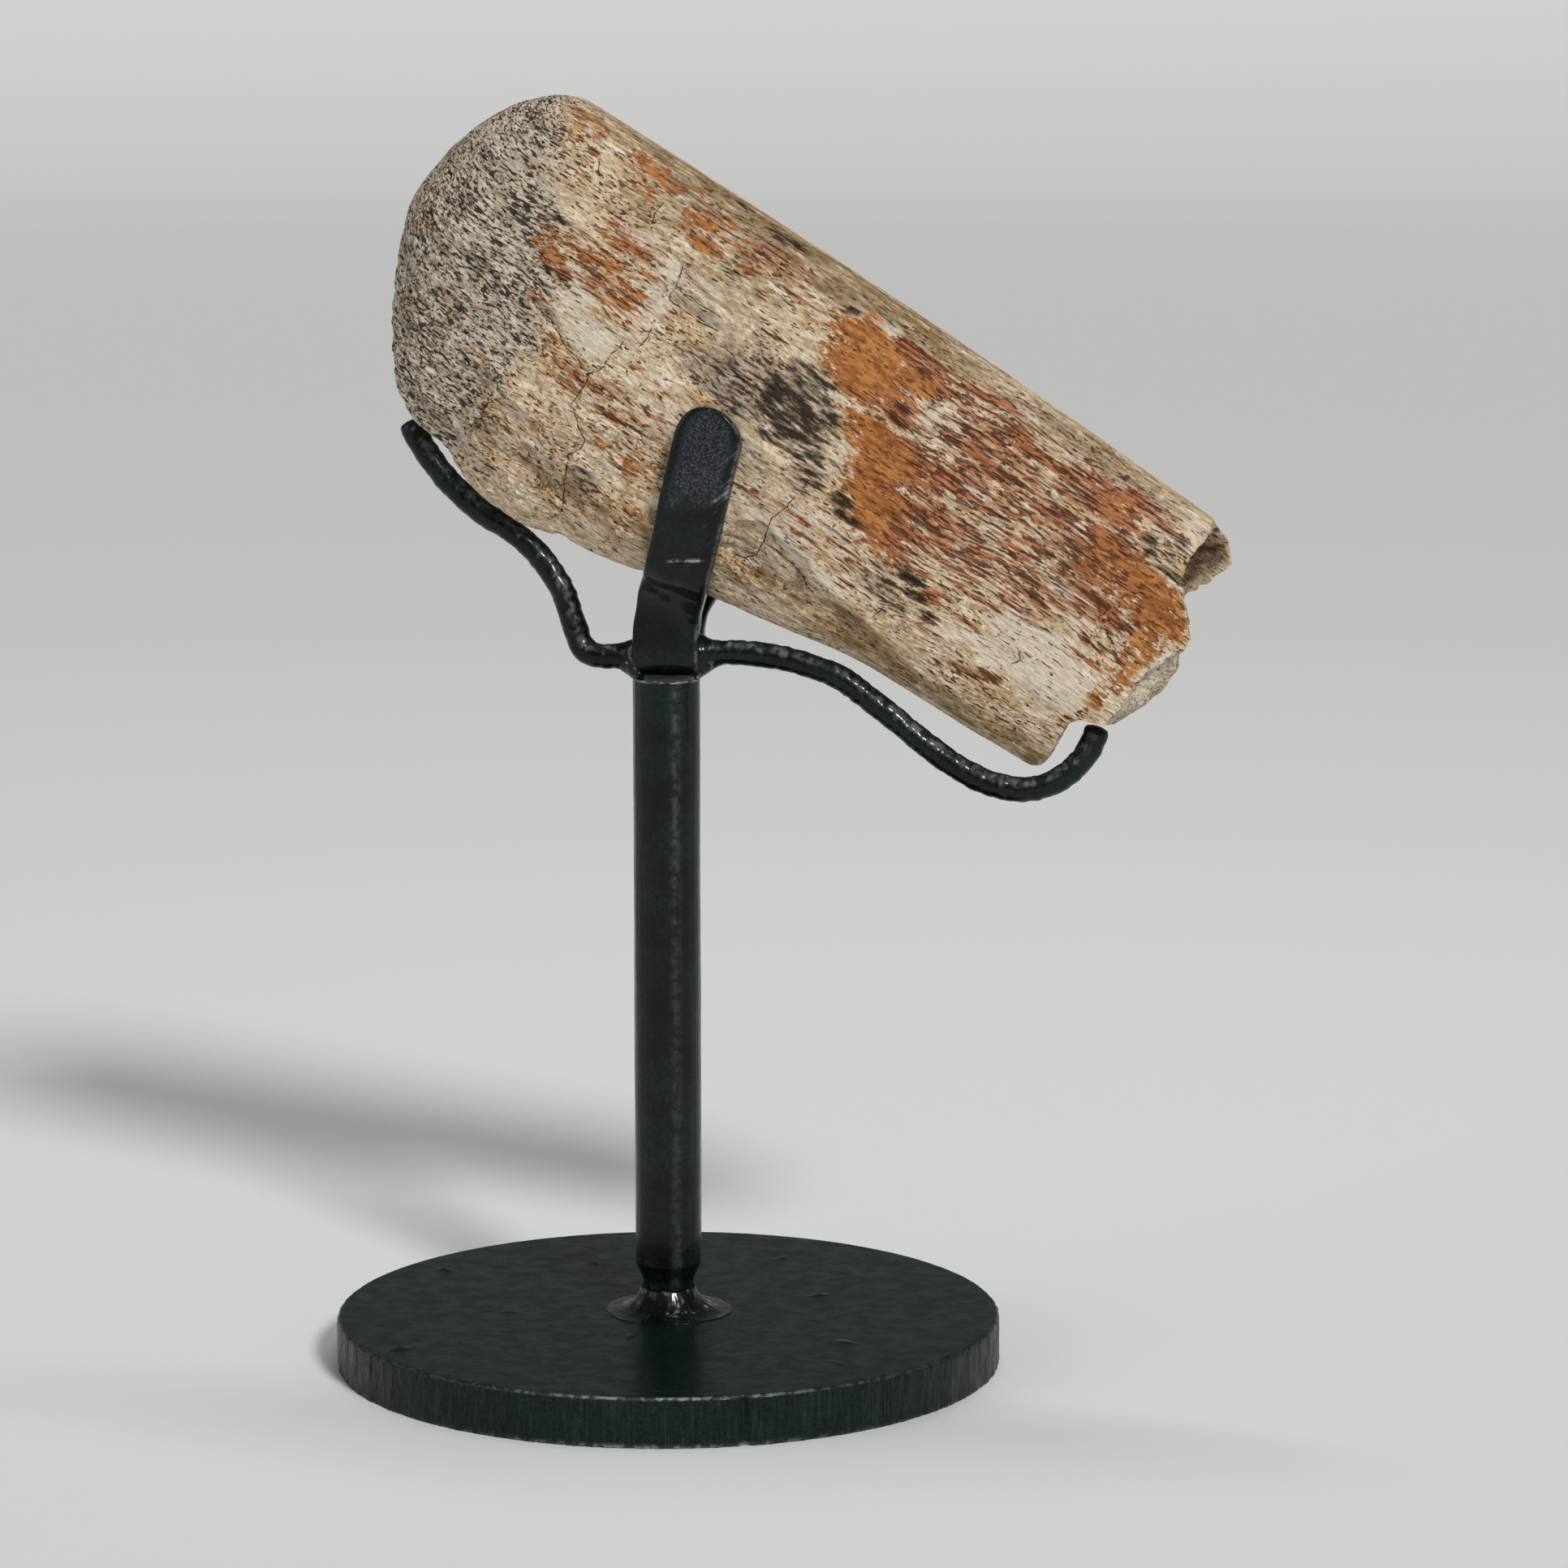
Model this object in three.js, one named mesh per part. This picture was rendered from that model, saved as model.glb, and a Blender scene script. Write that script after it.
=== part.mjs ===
// A length of fossil dinosaur rib resting in the bracket of a welded steel stand.
// Millimetres, +Z up. Origin: centre of the base plate's underside. The bracket lies in the
// XZ plane; the rib's outer face looks along -Y and its long axis runs down towards +X.
import * as THREE from 'three';

// ---------------------------------------------------------------- driving dimensions

const CLEARANCE = 0.3; // between neighbours that touch on surfaces that aren't flat

const PLATE = { radius: 63.5, thickness: 9.525, topBevel: 0.45, bottomBevel: 0.25, sides: 96 };
const POST = { radius: 6.35, top: 132.1, footRadius: 4.95, neckTop: 18.7, neckBottom: 16, topBevel: 0.5, sides: 28 };
const FOOT_WELD = { toeRadius: 12, height: 4.9, lump: 0.35, sides: 28 };

const STRAP = { width: 12.7, thickness: 3.175, foldRadius: 2.6, corner: 0.75 };
const ARM = { radius: 2.38, sides: 8, hammering: 0.05, chamfer: 0.5 };
const ARM_WELD = { rootRadius: 4.1, toeRadius: 2.95, length: 4, sides: 10 };

// The rib's own axes: s along it, t across it in the XZ plane, depth out of the plane.
const RIB = {
  middle: new THREE.Vector3(20, 0, 180),
  slope: THREE.MathUtils.degToRad(33),
  leftEnd: -80,
  columns: 52,
  leftRows: 10,      // rows that crowd towards the left end, over leftLength
  leftLength: 22,
  rowSpacing: 3.8,   // of the rows along the rest of the shaft
  endRows: 7,        // rows that cross the broken right end, from its rim to its middle
  endRound: 17,      // length over which the left end thins to nothing
  straightTo: 46,    // s from which the rows lean over to follow the broken right end
  brokenEnd: 80,     // nominal s of that end
  topFullness: 2.8,  // exponents of the section: the upper margin turns quicker than the lower
  bottomFullness: 2.3,
  frontSkew: 0.13,   // the outer face is fullest below its middle
  backSkew: 0.05,
};

// The upper margin: one rounded corner rises from the left end's tip into a long edge that bows
// slightly outwards.
const TOP_EDGE = {
  tip: -0.5,          // t of the left end's tip
  cornerLength: 19,
  cornerFullness: 1.9,
  height: 31.6,       // t at both ends of the bow
  bow: 1.3,
  bowMiddle: 14,      // s
  bowHalfLength: 75,
};

// The lower margin, as [s, t].
const BOTTOM_MARGIN = [
  [-80, -0.5], [-79.5, -5.1], [-78, -9.2], [-75.5, -14.9], [-70.5, -24.3], [-65.2, -31.8], [-60.3, -36],
  [-55.5, -37.7], [-49.6, -38.2], [-43.1, -41], [-37.7, -42.1], [-30.2, -42.2], [-22.2, -40.2], [-10.4, -38.1],
  [1.3, -34.6], [18.6, -31.3], [38, -27.5], [60, -26.5], [74, -25.7], [90, -25.5],
];

// Half thickness towards the outer face and towards the back, as [s, depth].
const FRONT_DEPTH = [[-80, 14], [-55, 15], [-20, 14.6], [20, 13.8], [60, 12.4], [90, 11.6]];
const BACK_DEPTH = [[-80, 12], [-55, 13], [-20, 12.6], [20, 11.8], [60, 10.8], [90, 10.2]];

// The broken right end: how far the bone reaches, as [t, s], along the outer wall, in the
// middle of the section, where it has lost its spongy core, and along the back wall.
const END_FRONT = [
  [-26, 73.5], [-25, 76], [-22.5, 77.9], [-14, 77.6], [-11.6, 78.4], [-10.6, 80.4], [-9.4, 83.4], [-5, 83.9],
  [2.5, 84.2], [6.7, 86], [10.4, 87.9], [15, 85.6], [17.7, 82.6], [22, 79.8], [24.3, 79.1], [32, 79.6],
];
const END_MIDDLE = [
  [-26, 73.5], [-25, 76], [-22.5, 77.6], [-14, 77.4], [-12.4, 78.6], [-11.2, 82.6], [-6, 86.4], [2, 88],
  [8, 86.8], [13, 82], [18, 76.5], [24, 73.5], [28, 75.5], [32, 79.4],
];
const END_BACK = [
  [-26, 73.5], [-25, 76], [-22.5, 77.4], [-14, 77.2], [-12, 79.5], [-9.5, 83.5], [-5, 85.6], [1, 85.4],
  [8, 82], [15, 81.6], [18, 82.8], [21, 83.7], [24, 84.8], [26.5, 84.9], [29, 82.4], [32, 79.8],
];

// Where the weathered spongy bone of the left end meets the smooth outer wall, as [t, s].
const SPONGY_EDGE = [[-36, -45.5], [-25, -45.2], [-14.5, -43.5], [-4.3, -41.7], [9, -48.5], [21, -57.8], [32, -63]];
const SPONGY_DEPTH = 1.3;

// Places where flakes came off: centre, half lengths along and across the rib, depth; side -1
// is the outer face, +1 the back.
const FLAKE_SCARS = [
  { s: -21, t: 12.6, along: 7.5, across: 3.6, depth: 0.8, side: -1 },
  { s: -14, t: 3.4, along: 9.5, across: 3.8, depth: 0.7, side: -1 },
  { s: 14, t: -19.5, along: 8.5, across: 5, depth: 1.1, side: -1 },
  { s: 27, t: -21, along: 8, across: 3.6, depth: 0.9, side: -1 },
  { s: -37, t: -28, along: 8, across: 5.5, depth: 1.2, side: -1 },
  { s: -31, t: -3, along: 5, across: 4, depth: 0.7, side: -1 },
  { s: -62, t: -9, along: 8, across: 7, depth: 1.2, side: -1 },
  { s: 78, t: 8, along: 6, across: 7, depth: 0.9, side: -1 },
  { s: -52, t: 4, along: 13, across: 10, depth: 1.5, side: 1 },
  { s: -8, t: -14, along: 12, across: 6, depth: 1.2, side: 1 },
  { s: 40, t: 12, along: 16, across: 5, depth: 1.1, side: 1 },
  { s: 68, t: -8, along: 9, across: 6, depth: 1.3, side: 1 },
];

// Lengthwise swells and hollows of the whole surface: waves per millimetre along and across.
const SWELLS = [
  { along: 0.075, across: 0.21, height: 0.3, phase: 0.4 },
  { along: 0.19, across: 0.34, height: 0.2, phase: 2.1 },
  { along: 0.33, across: 0.61, height: 0.14, phase: 4.4 },
];

// The strap's middle line, as [z, x], and how far its crosswise direction dips to the right.
const STRAP_LEAN = [
  [130, 0.4], [141, 0.5], [144, 1], [147.2, 1.8], [151.5, 3.9], [155.8, 5.5], [161, 7.1], [167, 8.6],
  [173, 10.1], [179, 11.7], [182, 12.1], [190, 12.3],
];
const STRAP_DIP = [[130, 0], [138, 0.02], [143, 0.2], [147, 0.4], [152, 0.34], [158, 0.25], [190, 0.25]];
const STRAP_TOP = 184.5;
const FOLD_CENTRE = POST.top + CLEARANCE + STRAP.thickness / 2 + STRAP.foldRadius;
const LEG_PART = [[0, 141], [0.05, 144.2]];            // [outward, z] where the legs still stand upright
const LEG_FLARE = [[1.7, 147.2], [5.2, 150.3], [8.9, 153.2]]; // then spread under the rib
const LEG_CONTACTS = [157.6, 161.5, 165.5, 169.5, 174, 179, STRAP_TOP]; // and follow its face

// The arms' middle lines.
const LEFT_ARM_PATH = [
  [-6.3, 0, 136.1], [-10, 0, 135.9], [-12.4, 0, 135.9], [-14.8, 0.1, 136.5], [-16.4, 0.2, 137.8],
  [-17.5, 0.3, 140.7], [-18.6, 0.4, 143.8], [-19.6, 0.6, 146.9], [-21.3, 0.8, 150.1], [-23.6, 1, 153.3],
  [-26.1, 1.3, 156], [-29, 1.5, 158.4], [-32.1, 1.6, 160.4], [-35.5, 1.7, 162.3], [-38.9, 1.9, 165.1],
  [-42.8, 2.2, 168.6], [-46.1, 2.6, 172.6], [-48.7, 3, 176.4], [-50.2, 3.2, 179.7],
];
const RIGHT_ARM_PATH = [
  [7.2, 0, 137], [15.5, 0, 137.1], [21.7, 0, 136.4], [27.9, 0, 134.9], [33.4, 0, 132.8], [37.5, 0, 130],
  [43.4, 0, 125.6], [49.5, 0, 120.8], [55.7, 0, 116.5], [61.9, 0, 113.6], [68.3, 0, 112.6], [74.1, 0, 114.3],
  [78.6, 0, 117.9], [80.9, 0, 121.4], [82.1, 0, 124.9],
];

// ---------------------------------------------------------------- shared shapes

// A smooth curve y(x) through points with rising x, level beyond the ends.
function through(points) {
  const last = points.length - 1;
  const slopes = points.map((point, i) => {
    const before = points[Math.max(i - 1, 0)];
    const after = points[Math.min(i + 1, last)];
    return (after[1] - before[1]) / (after[0] - before[0]);
  });
  return (x) => {
    let i = 0;
    while (i < last - 1 && x > points[i + 1][0]) i += 1;
    const span = points[i + 1][0] - points[i][0];
    const u = THREE.MathUtils.clamp((x - points[i][0]) / span, 0, 1);
    const rise = u * u * (3 - 2 * u);
    const lift = u * (1 - u) * span * (slopes[i] * (1 - u) - slopes[i + 1] * u);
    return points[i][1] * (1 - rise) + points[i + 1][1] * rise + lift;
  };
}

// A closed solid on a sphere's grid. place(row, turn) gives the point: row counts from pole
// to pole, and turn runs from 0 to 1 round the axis.
function gridSolid(rows, columns, place) {
  const geometry = new THREE.SphereGeometry(1, columns, rows);
  const position = geometry.getAttribute('position');
  for (let i = 0; i < position.count; i += 1) {
    const row = Math.floor(i / (columns + 1));
    const turn = (i % (columns + 1)) % columns;
    const point = place(row, turn / columns);
    position.setXYZ(i, point.x, point.y, point.z);
  }
  return finished(geometry);
}

function finished(geometry) {
  geometry.deleteAttribute('normal');
  geometry.deleteAttribute('uv');
  geometry.computeVertexNormals();
  return geometry;
}

// A bar carried along a path. stations are { centre, side, out }: the section's two axes there.
// section(row, turn) gives [along side, along out]; both ends are closed to a point.
function sweep(stations, columns, section) {
  const last = stations.length - 1;
  return gridSolid(last + 2, columns, (row, turn) => {
    const atPole = row === 0 || row === last + 2;
    const station = stations[THREE.MathUtils.clamp(row - 1, 0, last)];
    const [a, b] = atPole ? [0, 0] : section(row - 1, turn);
    return station.centre.clone().addScaledVector(station.side, a).addScaledVector(station.out, b);
  });
}

function lathe(profile, sides) {
  const geometry = new THREE.LatheGeometry(profile.map(([r, z]) => new THREE.Vector2(r, z)), sides);
  geometry.rotateX(Math.PI / 2);
  return finished(geometry);
}

function smoothStep(x, low, high) {
  return THREE.MathUtils.smoothstep(x, low, high);
}

// ---------------------------------------------------------------- the rib

function topMargin(s) {
  const { tip, cornerLength, cornerFullness, height, bow, bowMiddle, bowHalfLength } = TOP_EDGE;
  const edge = height + bow * (1 - ((s - bowMiddle) / bowHalfLength) ** 2);
  const u = THREE.MathUtils.clamp((RIB.leftEnd + cornerLength - s) / cornerLength, 0, 1);
  return tip + (edge - tip) * (1 - u ** cornerFullness) ** (1 / cornerFullness);
}
const bottomMargin = through(BOTTOM_MARGIN);
const frontDepth = through(FRONT_DEPTH);
const backDepth = through(BACK_DEPTH);
const endFront = through(END_FRONT);
const endMiddle = through(END_MIDDLE);
const endBack = through(END_BACK);
const spongyEdge = through(SPONGY_EDGE);

function ribPoint(s, t, depth) {
  const { middle, slope } = RIB;
  return new THREE.Vector3(
    middle.x + s * Math.cos(slope) + t * Math.sin(slope),
    depth,
    middle.z - s * Math.sin(slope) + t * Math.cos(slope),
  );
}

// The sound section at s: where the middle is, its half height, its half thickness on one side.
function ribSection(s, side) {
  const high = topMargin(s);
  const low = bottomMargin(s);
  const into = THREE.MathUtils.clamp((s - RIB.leftEnd) / RIB.endRound, 0, 1);
  const round = (1 - (1 - into) ** 2.2) ** (1 / 2.2);
  const depth = (side < 0 ? frontDepth(s) : backDepth(s)) * round;
  return { middle: (high + low) / 2, half: (high - low) / 2, depth };
}

function fullness(across) {
  return across > 0 ? RIB.topFullness : RIB.bottomFullness;
}

function skew(across, side) {
  return 1 - (side < 0 ? RIB.frontSkew : RIB.backSkew) * across;
}

// How thick the sound rib is at (s, t), from its middle plane to one side.
function ribDepth(s, t, side) {
  const { middle, half, depth } = ribSection(s, side);
  const across = THREE.MathUtils.clamp((t - middle) / half, -1, 1);
  const power = fullness(across);
  return depth * (1 - Math.abs(across) ** power) ** (1 / power) * skew(across, side);
}

// What weathering took off one side of the rib at (s, t).
function ribLoss(s, t, side) {
  const edge = spongyEdge(t) - (side < 0 ? 0 : 9);
  const spongy = SPONGY_DEPTH * smoothStep(edge - s, -0.4, 2.4);
  const flakes = FLAKE_SCARS.filter((scar) => scar.side === side).map((scar) => {
    const reach = Math.hypot((s - scar.s) / scar.along, (t - scar.t) / scar.across);
    return scar.depth * (1 - smoothStep(reach, 0.72, 1.1));
  });
  const swells = SWELLS.map((wave) => {
    const drift = wave.phase * side + 1.3 * Math.sin(0.05 * s + wave.phase);
    return wave.height * (1 + Math.sin(wave.along * s + drift) * Math.cos(wave.across * t - drift));
  });
  return [spongy, ...flakes, ...swells].reduce((sum, value) => sum + value, 0);
}

// How far the broken end reaches at height t and at a share of the thickness, -1 in front.
function ribEnd(t, share) {
  const wall = share < 0 ? endFront(t) : endBack(t);
  return THREE.MathUtils.lerp(endMiddle(t), wall, smoothStep(Math.abs(share), 0.3, 1));
}

// A point of the section at s: the turn runs from the upper margin over the back to the lower
// margin and home over the outer face. shrink draws it in towards the section's middle.
function ribSectionPoint(s, turn, shrink = 1) {
  const angle = 2 * Math.PI * turn;
  const side = Math.sin(angle) < 0 ? -1 : 1;
  const { middle, half, depth } = ribSection(s, side);
  const power = 2 / fullness(Math.cos(angle));
  const across = Math.sign(Math.cos(angle)) * Math.abs(Math.cos(angle)) ** power;
  const outward = Math.abs(Math.sin(angle)) ** power;
  const face = Math.min(outward * 1.6, 1); // 0 on the margins, 1 on the two faces
  const t = middle + half * across * Math.sqrt(shrink);
  const loss = ribLoss(s, t, side) * face * Math.min(depth / 6, 1);
  const sound = depth * outward * skew(across, side);
  return { t, depth: side * shrink * Math.max(sound - loss, 0), share: side * shrink * face };
}

function ribRows() {
  const { leftEnd, leftRows, leftLength, rowSpacing, brokenEnd } = RIB;
  const rows = [];
  for (let i = 1; i <= leftRows; i += 1) rows.push(leftEnd + leftLength * (i / leftRows) ** 1.7);
  for (let s = leftEnd + leftLength + rowSpacing; s < brokenEnd - 1; s += rowSpacing) rows.push(s);
  return rows;
}

function makeRib() {
  const rows = ribRows();
  const rim = rows.length + 1;
  const { leftEnd, straightTo, brokenEnd, endRows, columns } = RIB;
  return gridSolid(rim + endRows, columns, (row, turn) => {
    if (row === 0) return ribPoint(leftEnd, TOP_EDGE.tip, 0);
    if (row >= rim) {
      const { t, depth, share } = ribSectionPoint(brokenEnd, turn, 1 - (row - rim) / endRows);
      return ribPoint(ribEnd(t, share), t, depth);
    }
    const edge = ribSectionPoint(brokenEnd, turn);
    const lean = Math.max(rows[row - 1] - straightTo, 0) / (brokenEnd - straightTo);
    const s = rows[row - 1] + lean * (ribEnd(edge.t, edge.share) - brokenEnd);
    const { t, depth } = ribSectionPoint(s, turn);
    return ribPoint(s, t, depth);
  });
}

// ---------------------------------------------------------------- the stand

function makePlate() {
  const { radius, thickness, topBevel, bottomBevel, sides } = PLATE;
  return lathe([
    [0, 0], [radius - bottomBevel, 0], [radius, bottomBevel], [radius, thickness - topBevel],
    [radius - topBevel, thickness], [0, thickness],
  ], sides);
}

function makePost() {
  const { radius, top, footRadius, neckTop, neckBottom, topBevel, sides } = POST;
  return lathe([
    [0, PLATE.thickness], [footRadius, PLATE.thickness], [footRadius, neckBottom], [radius, neckTop],
    [radius, top - topBevel], [radius - topBevel, top], [0, top],
  ], sides);
}

// The fillet of weld metal: a ring whose outer face is hollow, with low lumps.
function makeFootWeld() {
  const { toeRadius, height, lump, sides } = FOOT_WELD;
  const inner = POST.footRadius + CLEARANCE;
  const floor = PLATE.thickness;
  const hollow = [1, 0.72, 0.45, 0.22, 0.04].map((share) => {
    const fall = (1 - share) ** 2.6;
    return [inner + 0.4 + (toeRadius - inner - 0.4) * share, floor + 0.35 + (height - 0.35) * fall];
  });
  const profile = [[inner, floor], [toeRadius + 0.2, floor], ...hollow, [inner, floor + height], [inner, floor]];
  const ring = lathe(profile, sides);
  const position = ring.getAttribute('position');
  for (let i = 0; i < position.count; i += 1) {
    const [x, y, z] = [position.getX(i), position.getY(i), position.getZ(i)];
    const turn = Math.atan2(y, x);
    const wave = lump * Math.sin(5 * turn + 0.6) * Math.cos(3 * turn);
    const above = Math.min((z - floor) / 2, 1);
    const swell = 1 + (0.1 * wave * (Math.hypot(x, y) - inner)) / (toeRadius - inner);
    position.setXYZ(i, x * swell, y * swell, z + wave * above);
  }
  return finished(ring);
}

const strapLean = through(STRAP_LEAN);
const strapDip = through(STRAP_DIP);

// Where a strap leg's middle line must stand at height z to lie on the rib's face.
function legContact(z, side) {
  const { middle, slope } = RIB;
  const depths = [-0.5, 0, 0.5].map((share) => {
    const dx = strapLean(z) + share * STRAP.width * Math.cos(strapDip(z)) - middle.x;
    const dz = z - share * STRAP.width * Math.sin(strapDip(z)) - middle.z;
    const s = dx * Math.cos(slope) - dz * Math.sin(slope);
    const t = dx * Math.sin(slope) + dz * Math.cos(slope);
    return ribDepth(s, t, side);
  });
  return Math.max(...depths) + CLEARANCE + STRAP.thickness / 2;
}

// One leg's middle line, from the bottom of the fold to its tip.
function legLine(side) {
  const { foldRadius } = STRAP;
  const fold = [0, 30, 60, 90].map((degrees) => {
    const angle = THREE.MathUtils.degToRad(degrees);
    return [foldRadius * Math.sin(angle), FOLD_CENTRE - foldRadius * Math.cos(angle)];
  });
  const free = [...LEG_PART, ...LEG_FLARE].map(([outward, z]) => [foldRadius + outward, z]);
  const onRib = LEG_CONTACTS.map((z) => [legContact(z, side), z]);
  const points = [...fold, ...free, ...onRib].map(([outward, z]) => new THREE.Vector3(0, side * outward, z));
  return new THREE.CatmullRomCurve3(points, false, 'centripetal');
}

// Distances from a leg's tip at which the strap gets a section: close together round the tip.
const TIP_STEPS = [0, 0.35, 1.2, 2.6, 4.4, 6.35];

function legStations(side) {
  const line = legLine(side);
  const length = line.getLength();
  const steps = 20;
  const fromTip = [...TIP_STEPS];
  for (let i = 1; i <= steps; i += 1) {
    fromTip.push(STRAP.width / 2 + ((length - STRAP.width / 2) * i) / steps);
  }
  return fromTip.map((distance) => {
    const share = 1 - distance / length;
    const centre = line.getPointAt(share);
    const tangent = line.getTangentAt(share).multiplyScalar(side < 0 ? 1 : -1);
    centre.x = strapLean(centre.z);
    const dip = strapDip(centre.z);
    const sideways = new THREE.Vector3(Math.cos(dip), 0, -Math.sin(dip));
    const out = sideways.clone().cross(tangent).normalize();
    const radius = STRAP.width / 2;
    const half = distance < radius ? Math.sqrt(Math.max(radius ** 2 - (radius - distance) ** 2, 0.64)) : radius;
    return { centre, side: sideways, out, half };
  });
}

// The folded strap: from the back leg's tip down round the fold and up to the front leg's tip.
function makeStrap() {
  const { thickness, corner } = STRAP;
  const back = legStations(1);
  const front = legStations(-1).reverse();
  const stations = [...back, ...front.slice(1)];
  const columns = 12;
  return sweep(stations, columns, (row, turn) => {
    const index = Math.round(turn * columns);
    const quarter = Math.floor(index / 3);
    const angle = (Math.PI / 2) * quarter + (Math.PI / 4) * (index % 3);
    const [signA, signB] = [[1, 1], [-1, 1], [-1, -1], [1, -1]][quarter];
    const round = Math.min(corner, stations[row].half * 0.9);
    const a = signA * (stations[row].half - round) + round * Math.cos(angle);
    const b = signB * (thickness / 2 - corner) + corner * Math.sin(angle);
    return [a, b];
  });
}

// A hand-bent round bar; its sections are slightly out of round where it was hammered.
function makeArm(path, steps) {
  const { radius, sides, hammering, chamfer } = ARM;
  const line = new THREE.CatmullRomCurve3(path.map((point) => new THREE.Vector3(...point)), false, 'centripetal');
  const frames = line.computeFrenetFrames(steps, false);
  const stations = frames.tangents.map((tangent, i) => (
    { centre: line.getPointAt(i / steps), side: frames.binormals[i], out: frames.normals[i], radius }
  ));
  const tip = stations[steps];
  stations.splice(steps, 0, { ...tip, centre: tip.centre.clone().addScaledVector(frames.tangents[steps], -chamfer) });
  stations[steps + 1] = { ...tip, radius: radius - chamfer };
  return sweep(stations, sides, (row, turn) => {
    const angle = 2 * Math.PI * turn;
    const blows = row === 0 ? 0 : hammering * Math.sin(2.3 * row) * Math.cos(2 * angle + 1.7 * row);
    const reach = stations[row].radius * (1 + blows);
    return [reach * Math.cos(angle), reach * Math.sin(angle)];
  });
}

// The collar of weld metal round an arm's root; outwards is -1 on the left, +1 on the right.
function makeArmWeld(root, outwards) {
  const { rootRadius, toeRadius, length, sides } = ARM_WELD;
  const inner = ARM.radius * (1 + ARM.hammering) + CLEARANCE;
  const collar = lathe([
    [inner, 0], [rootRadius, 0], [rootRadius - 0.2, length * 0.35], [toeRadius + 0.3, length * 0.75],
    [toeRadius, length], [inner, length], [inner, 0],
  ], sides);
  collar.rotateY((outwards * Math.PI) / 2);
  collar.translate(...root);
  return finished(collar);
}

// ---------------------------------------------------------------- the object

const blackSteel = { color: 0x101412, roughness: 0.42, metalness: 0.35 };
const weldSteel = { color: 0x0c0f0e, roughness: 0.3, metalness: 0.4 };
const fossilBone = { color: 0xb79b78, roughness: 0.85, metalness: 0 };

const object = new THREE.Group();

function add(name, geometry, finish) {
  const mesh = new THREE.Mesh(geometry, new THREE.MeshStandardMaterial(finish));
  mesh.name = name;
  object.add(mesh);
}

add('rib_bone', makeRib(), fossilBone);
add('base_plate', makePlate(), blackSteel);
add('post', makePost(), blackSteel);
add('foot_weld', makeFootWeld(), weldSteel);
add('prong_strap', makeStrap(), blackSteel);
add('left_arm', makeArm(LEFT_ARM_PATH, 34), blackSteel);
add('right_arm', makeArm(RIGHT_ARM_PATH, 42), blackSteel);
add('left_arm_weld', makeArmWeld(LEFT_ARM_PATH[0], -1), weldSteel);
add('right_arm_weld', makeArmWeld(RIGHT_ARM_PATH[0], 1), weldSteel);

export default object;
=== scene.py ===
"""A length of fossil dinosaur rib resting in the bracket of its welded steel stand.

Lengths in this file are millimetres unless a name or a property says otherwise; meshes are
written in metres. s runs along the rib, t across its face and depth out of the plane that the
bracket stands in; the outer face looks along -Y, so its depths are negative.
"""
import math

import bpy
import numpy as np
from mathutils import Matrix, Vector


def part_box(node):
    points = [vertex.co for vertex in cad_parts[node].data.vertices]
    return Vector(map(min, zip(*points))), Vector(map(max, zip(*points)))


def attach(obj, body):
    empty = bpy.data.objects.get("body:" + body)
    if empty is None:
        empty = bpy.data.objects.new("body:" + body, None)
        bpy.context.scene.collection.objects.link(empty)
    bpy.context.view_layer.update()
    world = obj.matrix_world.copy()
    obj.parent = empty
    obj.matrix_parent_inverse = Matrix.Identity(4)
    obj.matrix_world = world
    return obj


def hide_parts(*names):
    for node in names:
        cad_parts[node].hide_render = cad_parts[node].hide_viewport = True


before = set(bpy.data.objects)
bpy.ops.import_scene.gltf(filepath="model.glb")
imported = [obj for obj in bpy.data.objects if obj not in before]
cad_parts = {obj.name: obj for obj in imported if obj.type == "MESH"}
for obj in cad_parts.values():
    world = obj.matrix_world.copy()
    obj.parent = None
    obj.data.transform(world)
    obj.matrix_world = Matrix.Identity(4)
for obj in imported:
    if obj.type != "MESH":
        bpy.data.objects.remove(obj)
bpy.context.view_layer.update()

bl_info = {
    "name": "Fossil Rib on a Stand",
    "version": (1, 0, 0),
    "blender": (4, 5, 0),
    "location": "View3D > Sidebar > Fossil",
    "description": "Builds a weathered length of fossil rib and the welded steel stand that holds it",
    "category": "Add Mesh",
}

MM = 0.001
BODY = "root"


def frame_size(node):
    """Lowest and highest corner of a node of the frame, in millimetres."""
    low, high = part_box(node)
    return np.array(low) / MM, np.array(high) / MM


# ------------------------------------------------------------------ the stand's sizes

PLATE_LOW, PLATE_HIGH = frame_size("base_plate")
POST_LOW, POST_HIGH = frame_size("post")

PLATE_RADIUS = PLATE_HIGH[0]
PLATE_TOP = PLATE_HIGH[2]
POST_RADIUS = POST_HIGH[1]
POST_TOP = POST_HIGH[2]
POST_FOOT_RADIUS = 4.95
NECK_BOTTOM = 16.0
NECK_TOP = 18.7
FOOT_WELD_RADIUS = 12.0

CLEARANCE = 0.3
STRAP_WIDTH = 12.7
STRAP_THICKNESS = 3.175
STRAP_CORNER = 0.95
FOLD_RADIUS = 2.6
FOLD_CENTRE = POST_TOP + CLEARANCE + STRAP_THICKNESS / 2 + FOLD_RADIUS
STRAP_TOP = 184.5
ARM_RADIUS = 2.38

# The strap's middle line, as [z, x], and how far its crosswise direction dips to the right.
STRAP_LEAN = [
    (130, 0.4), (141, 0.5), (144, 1), (147.2, 1.8), (151.5, 3.9), (155.8, 5.5), (161, 7.1), (167, 8.6),
    (173, 10.1), (179, 11.7), (182, 12.1), (190, 12.3),
]
STRAP_DIP = [(130, 0), (138, 0.02), (143, 0.2), (147, 0.4), (152, 0.34), (158, 0.25), (190, 0.25)]
LEG_PART = [(0, 141), (0.05, 144.2)]
LEG_FLARE = [(1.7, 147.2), (5.2, 150.3), (8.9, 153.2)]
LEG_CONTACTS = [157.6, 161.5, 165.5, 169.5, 174, 179, STRAP_TOP]

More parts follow.
